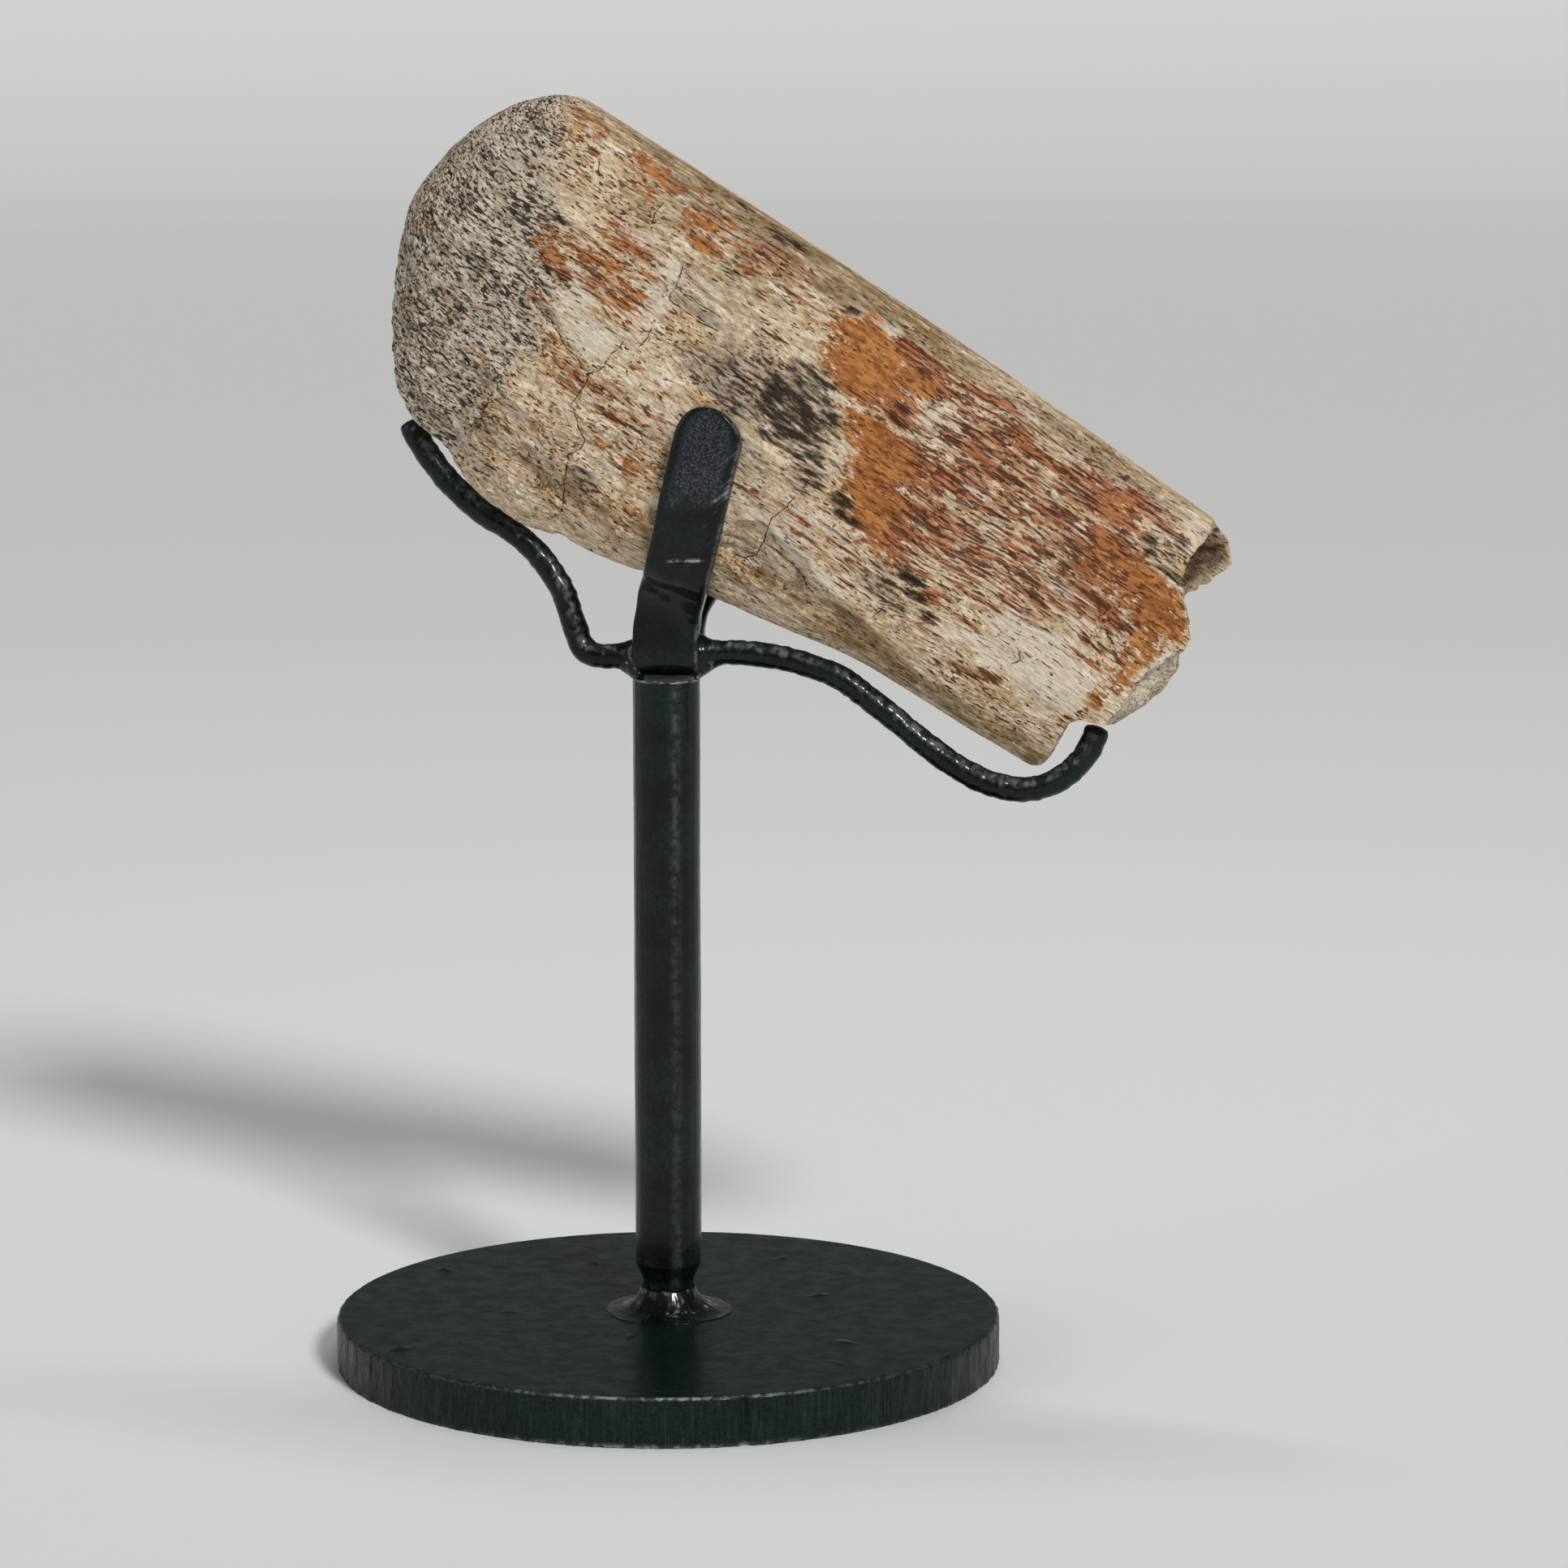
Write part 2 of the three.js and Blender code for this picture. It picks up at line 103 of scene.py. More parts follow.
# The arms' middle lines.
LEFT_ARM_PATH = [
    (-6.3, 0, 136.1), (-10, 0, 135.9), (-12.4, 0, 135.9), (-14.8, 0.1, 136.5), (-16.4, 0.2, 137.8),
    (-17.5, 0.3, 140.7), (-18.6, 0.4, 143.8), (-19.6, 0.6, 146.9), (-21.3, 0.8, 150.1), (-23.6, 1, 153.3),
    (-26.1, 1.3, 156), (-29, 1.5, 158.4), (-32.1, 1.6, 160.4), (-35.5, 1.7, 162.3), (-38.9, 1.9, 165.1),
    (-42.8, 2.2, 168.6), (-46.1, 2.6, 172.6), (-48.7, 3, 176.4), (-50.2, 3.2, 179.7),
]
RIGHT_ARM_PATH = [
    (7.2, 0, 137), (15.5, 0, 137.1), (21.7, 0, 136.4), (27.9, 0, 134.9), (33.4, 0, 132.8), (37.5, 0, 130),
    (43.4, 0, 125.6), (49.5, 0, 120.8), (55.7, 0, 116.5), (61.9, 0, 113.6), (68.3, 0, 112.6),
    (74.1, 0, 114.3), (78.6, 0, 117.9), (80.9, 0, 121.4), (82.1, 0, 124.9),
]


# ------------------------------------------------------------------ the rib's sizes

RIB_MIDDLE = (20.0, 180.0)
RIB_SLOPE = math.radians(33)
LEFT_END = -80.0
BROKEN_END = 80.0
STRAIGHT_TO = 46.0
END_ROUND = 17.0
END_FULLNESS = 2.2
TOP_FULLNESS = 2.8
BOTTOM_FULLNESS = 2.3
FRONT_SKEW = 0.13
BACK_SKEW = 0.05
SPONGY_DEPTH = 1.3

# The upper margin: one rounded corner rises from the left end's tip into a long, bowed edge.
LEFT_TIP = -0.5
CORNER_LENGTH = 19.0
CORNER_FULLNESS = 1.9
EDGE_HEIGHT = 31.6
EDGE_BOW = 1.3
BOW_MIDDLE = 14.0
BOW_HALF_LENGTH = 75.0

# The lower margin, as (s, t).
BOTTOM_MARGIN = [
    (-80, -0.5), (-79.5, -5.1), (-78, -9.2), (-75.5, -14.9), (-70.5, -24.3), (-65.2, -31.8), (-60.3, -36),
    (-55.5, -37.7), (-49.6, -38.2), (-43.1, -41), (-37.7, -42.1), (-30.2, -42.2), (-22.2, -40.2),
    (-10.4, -38.1), (1.3, -34.6), (18.6, -31.3), (38, -27.5), (60, -26.5), (74, -25.7), (90, -25.5),
]
FRONT_DEPTH = [(-80, 14), (-55, 15), (-20, 14.6), (20, 13.8), (60, 12.4), (90, 11.6)]
BACK_DEPTH = [(-80, 12), (-55, 13), (-20, 12.6), (20, 11.8), (60, 10.8), (90, 10.2)]

# How far the broken right end reaches, as (t, s): outer wall, middle of the section, back wall.
END_FRONT = [
    (-26, 73.5), (-25, 76), (-22.5, 77.9), (-14, 77.6), (-11.6, 78.4), (-10.6, 80.4), (-9.4, 83.4),
    (-5, 83.9), (2.5, 84.2), (6.7, 86), (10.4, 87.9), (15, 85.6), (17.7, 82.6), (22, 79.8), (24.3, 79.1),
    (29, 79.6), (32, 78.4),
]
END_MIDDLE = [
    (-26, 73.5), (-25, 76), (-22.5, 77.6), (-14, 77.4), (-12.4, 78.6), (-11.2, 82.6), (-6, 86.4), (2, 88),
    (8, 86.8), (13, 81), (18, 74.5), (23.5, 70), (26.5, 73), (28.8, 79), (32, 78.4),
]
END_BACK = [
    (-26, 73.5), (-25, 76), (-22.5, 77.4), (-14, 77.2), (-12, 79.5), (-9.5, 83.5), (-5, 85.6), (1, 85.4),
    (8, 82), (15, 81.6), (18, 82.8), (21, 83.8), (24, 84.9), (26.5, 85), (29, 83.5), (30.6, 81.3),
    (32, 78.6),
]

# Where the weathered spongy bone of the left end meets the smooth outer wall, as (t, s).
SPONGY_EDGE = [
    (-36, -45.5), (-25, -45.2), (-14.5, -43.5), (-4.3, -41.7), (9, -48.5), (21, -57.8), (32, -63),
]
BACK_SPONGY_SHIFT = 9.0

# Flake scars: s, t, half length along, half length across, depth.
FRONT_SCARS = [
    (-21, 12.6, 7.5, 3.6, 0.8), (-14, 3.4, 9.5, 3.8, 0.7), (14, -19.5, 8.5, 5, 1.7), (27, -21, 8, 3.6, 1.3),
    (-37, -28, 8, 5.5, 1.2), (-31, -3, 5, 4, 0.7), (-62, -9, 8, 7, 1.2), (78, 8, 6, 7, 0.9),
]
BACK_SCARS = [(-52, 4, 13, 10, 1.5), (-8, -14, 12, 6, 1.2), (40, 12, 16, 5, 1.1), (68, -8, 9, 6, 1.3)]

# Swells of the whole surface: waves per millimetre along and across, height, phase.
SWELLS = [(0.075, 0.21, 0.3, 0.4), (0.19, 0.34, 0.2, 2.1), (0.33, 0.61, 0.14, 4.4)]

# Cracks of the outer face, each a broken line of (s, t).
FRONT_CRACKS = [
    [(-30, 0.6), (-30.4, -3), (-30.6, -6), (-32.2, -8.8), (-31.7, -12), (-32, -16)],
    [(-31.5, -15.5), (-29, -17.6), (-26.2, -19.6), (-25.8, -22), (-27.2, -24.3), (-26, -27), (-24.9, -31),
     (-23.6, -34.4), (-23.3, -36)],
    [(-47, -4), (-42.5, -5), (-39, -6.8), (-35.5, -7.6), (-32.4, -9)],
    [(-52.6, 25.5), (-52, 24), (-51.2, 23)],
    [(-38, 25), (-38.3, 22.6), (-37.4, 20.8)],
    [(-28.6, 17.6), (-27.2, 15.2), (-27.5, 12.5), (-27.3, 11)],
    [(-26.8, 5), (-26.3, 3), (-27, 0.5)],
    [(-27.2, 13.6), (-22, 13.4), (-17, 13.6)],
    [(-27.2, 11), (-22, 10.8), (-16, 11.2)],
    [(-19.8, 4.9), (-15, 5.2), (-9, 6), (-4, 5.8)],
    [(12.6, -5.5), (12.2, -9), (11, -12.2), (11.2, -14.5), (12, -17), (12, -20.5), (10.6, -22.4),
     (7.4, -22.8)],
    [(12, -17.4), (16, -17.4), (20, -18), (23, -20)],
    [(-53, -0.1), (-49, -0.5), (-45.5, -0.9)],
    [(-60, -0.2), (-55, 0.1), (-52, -0.2)],
    [(62.6, -7), (63.6, -8.4), (62.8, -9.8)],
    [(37, -15), (36.6, -17)],
]
BACK_CRACKS = [
    [(-24, 30), (-27, 20), (-22, 9), (-25, -4), (-20, -15), (-23, -30)],
    [(-20, -15), (-8, -18), (3, -16)],
    [(34, 26), (30, 15), (33, 6)],
    [(52, -4), (57, -12), (55, -24)],
]


# ------------------------------------------------------------------ curves and fields


def stacked(*parts):
    """Arrays that broadcast together, side by side on a new last axis."""
    return np.stack(np.broadcast_arrays(*parts), axis=-1)


def cubic(u, span, start, end, start_slope, end_slope):
    """The cubic from start to end with the given slopes, at the share u of its span."""
    rise = u * u * (3 - 2 * u)
    lift = u * (1 - u) * span * (start_slope * (1 - u) - end_slope * u)
    return start * (1 - rise) + end * rise + lift


def superellipse(u, power):
    """(1 - u^n)^(1/n), which falls from 1 at u = 0 to 0 at u = 1."""
    return (1 - u ** power) ** (1 / power)


def oval_reach(across, up, power):
    """(|x|^n + |y|^n)^(1/n), which is 1 on the edge of an oval of half lengths 1."""
    return (np.abs(across) ** power + np.abs(up) ** power) ** (1 / power)


def smooth_curve(points):
    """A curve y(x) through points of rising x: a cubic between neighbours, whose slope at each
    point is that of the chord between the points beside it, and level beyond the ends."""
    x, y = np.asarray(points, float).T
    index = np.arange(len(x))
    before = np.maximum(index - 1, 0)
    after = np.minimum(index + 1, len(x) - 1)
    slope = (y[after] - y[before]) / (x[after] - x[before])

    def at(value):
        i = np.clip(np.searchsorted(x, value, side="right") - 1, 0, len(x) - 2)
        span = x[i + 1] - x[i]
        u = np.clip((value - x[i]) / span, 0, 1)
        return cubic(u, span, y[i], y[i + 1], slope[i], slope[i + 1])

    return at


def point_at(wanted, place, line):
    """The points at the wanted places along a line whose own points lie at the given places."""
    return np.stack([np.interp(wanted, place, line[:, axis]) for axis in range(3)], axis=-1)


def smooth_path(points, count):
    """count points, evenly spaced, on a centripetal Catmull-Rom curve through the given ones:
    the knots are the square roots of the chords added up, and the ends run straight on."""
    points = np.asarray(points, float)
    padded = np.vstack([2 * points[0] - points[1], points, 2 * points[-1] - points[-2]])
    gap = np.sqrt(np.linalg.norm(np.diff(padded, axis=0), axis=1))[:, None]
    step = np.diff(padded, axis=0)
    tangent = step[:-1] / gap[:-1] - (padded[2:] - padded[:-2]) / (gap[:-1] + gap[1:]) + step[1:] / gap[1:]
    knots = np.concatenate([[0], np.cumsum(gap[1:-1, 0])])
    fine = np.linspace(0, knots[-1], 60 * len(points))
    i = np.clip(np.searchsorted(knots, fine, side="right") - 1, 0, len(points) - 2)
    span = (knots[i + 1] - knots[i])[:, None]
    u = (fine - knots[i])[:, None] / span
    curve = cubic(u, span, points[i], points[i + 1], tangent[i], tangent[i + 1])
    length = np.concatenate([[0], np.cumsum(np.linalg.norm(np.diff(curve, axis=0), axis=1))])
    return point_at(np.linspace(0, length[-1], count), length, curve)


def smooth_step(value, low, high):
    """0 below low, 1 above high, and 3u^2 - 2u^3 between them."""
    u = np.clip((value - low) / (high - low), 0, 1)
    return u * u * (3 - 2 * u)


LATTICE = 32


def value_noise(points, seed):
    """Smooth noise from -1 to 1: random numbers on the whole-number lattice, blended inside each
    cell with the curve 6u^5 - 15u^4 + 10u^3."""
    table = np.random.default_rng(seed).uniform(-1, 1, (LATTICE,) * 3)
    cell = np.floor(points).astype(int)
    u = points - cell
    u = u * u * u * (u * (6 * u - 15) + 10)
    total = 0
    for corner in np.ndindex(2, 2, 2):
        weight = np.prod(np.where(corner, u, 1 - u), axis=-1)
        i, j, k = np.moveaxis((cell + corner) % LATTICE, -1, 0)
        total = total + weight * table[i, j, k]
    return total


def layered_noise(points, seed, layers=3, gain=0.5):
    """Value noise added to itself at twice the frequency and gain times the height."""
    heights = gain ** np.arange(layers)
    parts = [h * value_noise(points * 2.03 ** n, seed + n) for n, h in enumerate(heights)]
    return sum(parts) / heights.sum()


def nearest_seed(points, seed):
    """Distance to the nearest of scattered points, one in each cell of the whole-number lattice,
    and a random number from 0 to 1 that belongs to that point."""
    rng = np.random.default_rng(seed)
    offset = rng.random((LATTICE,) * 3 + (3,))
    number = rng.random((LATTICE,) * 3)
    home = np.floor(points).astype(int)
    nearest = np.full(points.shape[:-1], np.inf)
    owner = np.zeros(points.shape[:-1])
    for corner in np.ndindex(3, 3, 3):
        cell = home + np.array(corner) - 1
        i, j, k = np.moveaxis(cell % LATTICE, -1, 0)
        distance = np.linalg.norm(cell + offset[i, j, k] - points, axis=-1)
        owner = np.where(distance < nearest, number[i, j, k], owner)
        nearest = np.minimum(nearest, distance)
    return nearest, owner


def signed_distance(s, t, line):
    """Distance from (s, t) to a broken line, positive on its left, and 0 to 1 along it."""
    line = np.asarray(line, float)
    reach = np.full(s.shape, np.inf)
    signed = np.full(s.shape, np.inf)
    share = np.zeros(s.shape)
    for number, (start, end) in enumerate(zip(line[:-1], line[1:])):
        run = end - start
        u = np.clip(((s - start[0]) * run[0] + (t - start[1]) * run[1]) / (run @ run), 0, 1)
        ds = s - start[0] - u * run[0]
        dt = t - start[1] - u * run[1]
        distance = np.hypot(ds, dt)
        closer = distance < reach
        reach = np.where(closer, distance, reach)
        signed = np.where(closer, np.copysign(distance, run[0] * dt - run[1] * ds), signed)
        share = np.where(closer, (number + u) / (len(line) - 1), share)
    return signed, share


# ------------------------------------------------------------------ meshes


def grid_faces(rows, columns, rings_join):
    """Quads of a grid whose columns close on themselves. Its rows close too if rings_join, and
    otherwise each end row is closed by a fan to one more vertex, the first and last of all."""
    first = 0 if rings_join else 1
    row = np.arange(rows if rings_join else rows - 1)[:, None]
    column = np.arange(columns)[None, :]
    beside = (column + 1) % columns
    below = (row + 1) % rows
    row, below = row * columns, below * columns
    quads = first + stacked(row + column, row + beside, below + beside, below + column).reshape(-1, 4)
    if rings_join:
        return quads.tolist()
    ring = np.arange(columns)
    onward = (ring + 1) % columns
    start = stacked(0, first + onward, first + ring)
    last = first + (rows - 1) * columns
    end = stacked(last + ring, last + onward, last + columns)
    return quads.tolist() + start.tolist() + end.tolist()


def outward(points, faces):
    """The faces, all turned over if the volume that they enclose comes out negative."""
    triangles = np.array([(f[0], f[k], f[k + 1]) for f in faces for k in range(1, len(f) - 1)])
    a, b, c = (points[triangles[:, k]] for k in range(3))
    volume = np.einsum("ij,ij->", a, np.cross(b, c))
    return faces if volume > 0 else [face[::-1] for face in faces]


def surface_normals(grid):
    """Unit normals of a grid closed along its columns: the cross product of the differences
    between neighbouring columns and between neighbouring rows."""
    across = np.roll(grid, -1, axis=1) - np.roll(grid, 1, axis=1)
    along = np.gradient(grid, axis=0)
    normal = np.cross(across, along)
    return normal / np.maximum(np.linalg.norm(normal, axis=-1, keepdims=True), 1e-9)


def add_object(name, data):
    """Puts a mesh, light or camera into the scene."""
    added = bpy.data.objects.new(name, data)
    bpy.context.scene.collection.objects.link(added)
    return added


def make_piece(name, shape, material, nodes):
    """Adds a closed piece and ties it to the frame. Its shape holds a grid of points in
    millimetres, the two vertices that close the grid's end rows, or None for a ring, and numbers
    on the grid that the material reads. Each end vertex takes the number next to it."""
    grid, ends, fields = shape
    rows, columns = grid.shape[:2]
    points = grid.reshape(-1, 3)
    if ends is not None:
        points = np.vstack([ends[0], points, ends[1]])
    faces = outward(points, grid_faces(rows, columns, rings_join=ends is None))
    mesh = bpy.data.meshes.new(name)
    mesh.from_pydata((points * MM).tolist(), [], faces)
    mesh.shade_smooth()
    for field, values in fields.items():
        flat = values.reshape(-1)
        if ends is not None:
            flat = np.concatenate([flat[:1], flat, flat[-1:]])
        mesh.attributes.new(field, "FLOAT", "POINT").data.foreach_set("value", flat.astype(np.float32))
    mesh.materials.append(material)
    piece = add_object(name, mesh)
    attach(piece, BODY)
    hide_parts(*nodes)


# ------------------------------------------------------------------ stains of the rib

# Each stain is s, t, half length along, half length across and strength.
ORANGE_STAINS = [
    # the broad smooth patch right of the strap
    (9, 24.5, 9, 3.6, 1), (11, 20.5, 10, 4.4, 1), (11, 17.2, 8, 2.6, 1), (20, 24, 5, 3, 1),
    (21, 12.3, 11, 2.3, 1), (23, 9.5, 10, 3, 1), (22, 5.5, 6, 4.5, 1), (25.5, 2, 8, 4.5, 1),
    (28, -2, 8, 3.6, 0.95), (30, -5, 7, 2.4, 0.7), (33, 9.2, 3, 1.5, 0.8), (6, 28, 3, 1.6, 0.6),
    # the broken end
    (63, 24.5, 5, 3.6, 0.8), (68, 18, 7, 3.2, 0.9), (76, 16, 8, 3.2, 1), (80, 12.5, 6.5, 3.6, 1),
    (66, 13.5, 5, 2.4, 0.8), (81, 6.5, 3.6, 4, 0.8), (81, 0.5, 3, 4.5, 0.75), (79.3, -6.2, 2.3, 2, 0.7),
    (57, 27, 4, 2, 0.45), (74, 12, 5, 2, 0.8),
    # the scattered spots left of the strap
    (-52, 8.2, 3.2, 2.2, 0.65), (-49, 5.6, 3.6, 2.2, 0.86), (-44, 9.4, 3, 1.7, 0.86),
    (-47, 9.3, 3.5, 1.2, 0.56), (-40, 10.6, 3, 1.1, 0.65), (-42, 14.4, 4, 1.2, 0.6),
    (-37, 15.3, 2.6, 1.3, 0.82), (-41, 17, 3, 1, 0.43), (-33, 13, 2.6, 0.9, 0.56),
    (-33, 8.6, 3.4, 1.1, 0.73), (-37.5, 9.2, 3, 0.9, 0.52), (-34, 6, 4.2, 1.1, 0.82),
    (-40.5, 6.5, 2, 1.1, 0.52), (-32, 3, 3, 1, 0.6), (-38, 4.2, 2, 0.7, 0.43), (-44, 29, 5.5, 1.6, 0.6),
    (-57, 29, 6, 1.8, 0.43), (-39, 28, 3.2, 1.3, 0.65), (-43, 25.4, 4.4, 1.4, 0.52),
    (-40, 24.4, 2, 1.5, 0.52), (-30, 26, 4, 1.4, 0.86), (-32, 23.6, 2.4, 1.4, 0.65),
    (-27.5, 22.5, 3.2, 1.2, 0.86), (-24, 23, 1.6, 0.8, 0.69), (-26, 28.4, 3, 1, 0.69),
    (-33, 30, 4.4, 0.8, 0.43), (-18.3, 23, 1.6, 1, 0.82), (-41.5, -6.6, 2.4, 0.7, 0.69),
    (-48, -2.6, 3.2, 1.6, 0.52), (-36, -9.8, 3, 0.8, 0.65), (-35, -11.5, 3, 2, 0.39),
    (-52, -18, 3.4, 2, 0.34), (-35, -21.5, 3.4, 2.4, 0.39), (-25, -2.8, 1.8, 0.8, 0.56),
    (-18.5, -4, 3.4, 1.6, 0.39), (-18, -8.2, 3, 0.8, 0.52), (-17, -19.6, 3.6, 2, 0.6),
    (-23, -18.4, 2.2, 1, 0.56), (-11, -16.8, 2.2, 0.8, 0.47), (-10.5, -26, 2.2, 1, 0.43),
    (-12.5, -29.4, 3.6, 1.1, 0.43), (-15, -22, 3, 1, 0.43), (-60, 26, 3.4, 0.9, 0.39),
    (-53, 19.4, 2.2, 0.8, 0.43), (-75, -5, 2.4, 1.2, 0.34), (-69.6, -17, 1.8, 1.4, 0.52),
    (-66, 3, 3, 1, 0.26), (-62, -13, 3.6, 2.4, 0.26),
]
RED_STREAKS = [
    # left of the strap
    (-22, -12, 20, 6, 0.36), (-38, 10, 14, 10, 0.34), (-20, 26, 24, 5, 0.33), (-46, 4, 1.9, 1.6, 0.95),
    (-48.5, 3.2, 2.6, 1.2, 0.7), (-47.6, -2.8, 1.3, 1, 0.75), (-25, -13.4, 4.4, 0.8, 0.85),
    (-18, -12.4, 4.4, 0.8, 0.7), (-54.4, 25.6, 1.4, 0.6, 0.7), (-41.5, -6.7, 1.6, 0.5, 0.6),
    (-38, 28, 2.4, 0.9, 0.55), (-74, -2, 2, 1.2, 0.4), (-63, 17.6, 2, 1.2, 0.45),
    (-18.6, 21, 2.6, 0.6, 0.5), (-13, 21.6, 1.6, 1.6, 0.4), (-14, -9, 5, 0.7, 0.45),
    (-5, 7.6, 4, 1.1, 0.55), (-9, 27.4, 3, 1.2, 0.4),
    # under and round the smooth patch
    (15, 27.5, 4, 1.6, 0.85), (20, 27.2, 5, 1.6, 0.75), (18, 25.9, 6.4, 0.6, 0.95), (20, 17, 3.3, 2.1, 1),
    (22, 19.6, 2.6, 1, 0.75), (15, 15.7, 6, 0.5, 0.55), (19, 5, 1.6, 0.7, 0.6), (30, 12, 3.4, 1.4, 0.75),
    (27, 11.2, 2, 0.6, 0.6), (30, 4.6, 1.8, 1.6, 0.7),
    # the streaked right half
    (50, 14, 30, 17, 0.6), (37, 4, 9, 12, 0.55), (34, 24, 14, 7, 0.55), (46, 13, 24, 17, 0.5),
    (20, -10, 20, 5, 0.3), (66, 27, 14, 4, 0.4), (31, 26, 6, 1.6, 0.68), (30, 20.5, 5, 3, 0.62),
    (36, 21, 9, 6, 0.62), (41, 26.4, 3.8, 1.5, 1), (48, 24.8, 9, 1.4, 0.78), (55, 23, 6, 3, 0.85),
    (54.6, 18, 5.6, 3.4, 0.85), (48.5, 15.4, 8, 1.8, 0.8), (44, 19, 6, 3, 0.62), (61.8, 17, 3, 1.8, 0.75),
    (36, 12.4, 5.4, 2.3, 0.9), (33, 10, 4, 1.2, 0.65), (47, 11.6, 8, 2, 0.62), (54, 11, 7, 1.4, 0.6),
    (61.6, 8.8, 3, 1.4, 0.65), (36, 6.6, 4.4, 2.4, 0.85), (33, 3.6, 3.4, 2.6, 0.85), (37, 2, 4, 2.2, 0.75),
    (40.4, 1.6, 2, 2.6, 0.7), (46, 7.2, 8, 1, 0.75), (47.5, 2.6, 4.6, 2.2, 0.82), (54, 6.4, 5, 0.9, 0.5),
    (57, 2.9, 8, 0.8, 0.85), (63.6, 2.2, 4, 0.8, 0.7), (55, -0.2, 4, 0.9, 0.7), (46.6, -0.6, 5, 0.9, 0.7),
    (50, -2.9, 7, 0.6, 0.62), (36.4, -2.8, 3, 1.6, 0.6), (40, -1, 3, 1.2, 0.6), (45.4, -5.6, 2.6, 1.2, 0.6),
    (42.6, -7.8, 2.6, 1.4, 0.85), (51, -7.9, 4.6, 0.7, 0.55), (57.6, -5.4, 2.6, 0.5, 0.55),
    (66, 19.3, 3, 0.9, 0.7), (64, 12.4, 4, 1, 0.65), (70, 8.6, 6, 1.5, 0.85), (66.6, 6.3, 3, 1.4, 0.7),
    (75.4, 7.6, 3, 1.2, 0.75), (71.6, 5.4, 4, 0.9, 0.6), (74, 2, 4.6, 0.9, 0.66), (64.6, 1, 0.6, 1.4, 0.8),
    (73.6, -1.2, 4.4, 0.7, 0.6), (79.6, 3.4, 2, 1.6, 0.55), (46, -12.4, 2, 3, 0.55),
    (47, -13.2, 3.4, 1.2, 0.6), (60.6, -14.2, 3.6, 1.2, 0.8), (56, -16, 4.6, 0.8, 0.75),
    (52, -17, 6, 0.6, 0.5), (68, 28.1, 8, 0.8, 0.75), (64.6, 27.5, 4, 0.5, 0.7), (72.6, 14, 3, 0.7, 0.6),
    (60, 29.6, 6, 0.6, 0.45), (56, 30.5, 6, 0.6, 0.45), (30, 28.2, 9, 0.9, 0.45),
    (3, -10.2, 4.6, 0.6, 0.65), (12.2, -5.6, 2.6, 0.5, 0.4), (16.6, -9, 2, 0.5, 0.55),
    (22, -9.6, 2.4, 0.5, 0.6), (28, -11.2, 2.2, 1.2, 0.7), (30.4, -14.4, 3.4, 0.5, 0.6),
    (79.2, -5.8, 1.4, 1.6, 0.5), (82.6, 14, 1.2, 0.9, 0.6), (70, 24.6, 5, 0.5, 0.4), (-20, -6, 4, 0.5, 0.5),
]
DARK_STAINS = [
    (3.4, 6, 9, 6, 0.8), (-5, 6, 9, 6, 0.45), (11, 0, 5, 5, 0.6), (3, 14, 6, 2.5, 0.5), (3, 8, 5, 4, 0.9),
    (8, 8.4, 4, 3, 0.75), (5, 12, 4.6, 1.5, 0.7), (10.4, 9.6, 1.8, 1, 0.95), (0, 4, 3.4, 2.6, 0.62),
    (5, 2.6, 5.4, 2, 0.66), (-3.4, 8, 3.2, 1.5, 0.5), (-7, 16.6, 3.4, 0.8, 0.4), (2.4, -5, 3.4, 3, 0.36),
    (20.4, -2, 2.6, 1.1, 0.85), (23.6, -4, 4, 1, 0.5), (38, -6.4, 3.6, 1.5, 0.8), (41.4, -9.2, 3, 1, 0.66),
    (44.6, -11.2, 1.6, 1.5, 0.8), (34.6, -8.6, 4, 1.8, 0.45), (36, -12, 6.4, 2.4, 0.42),
    (-60.4, 8.2, 4, 1.6, 0.6), (-65, 7, 8, 4.4, 0.36), (-65, 24.6, 5, 2.6, 0.5), (-61.6, -2, 3.4, 4, 0.5),
    (-60, -15, 6, 3, 0.34), (-67, -13.5, 4, 3.4, 0.45), (-50, 0.7, 3.6, 0.8, 0.62),
    (-55, 12.1, 6, 0.8, 0.68), (2.2, 27.6, 1.8, 1.4, 0.5), (-15, 31.4, 4.4, 0.8, 0.66),
    (-24, 32, 3.6, 0.6, 0.55), (78, 20.4, 4.4, 0.8, 0.7), (73, 22.4, 4, 1.2, 0.5),
    (71, 23.6, 2.2, 0.7, 0.55), (-45, -27.4, 8, 2.6, 0.36), (-23, -27, 3.4, 2.2, 0.34),
    (2, 13.6, 7, 1.4, 0.45), (-71, -2.5, 4, 2, 0.34), (-62.4, 17, 3, 1.4, 0.4), (-69, 15, 4, 2, 0.3),
    (76, 25, 3, 2.4, 0.28), (24, 22, 1.4, 1.6, 0.4), (-20, 21.4, 2.4, 0.8, 0.45),
]
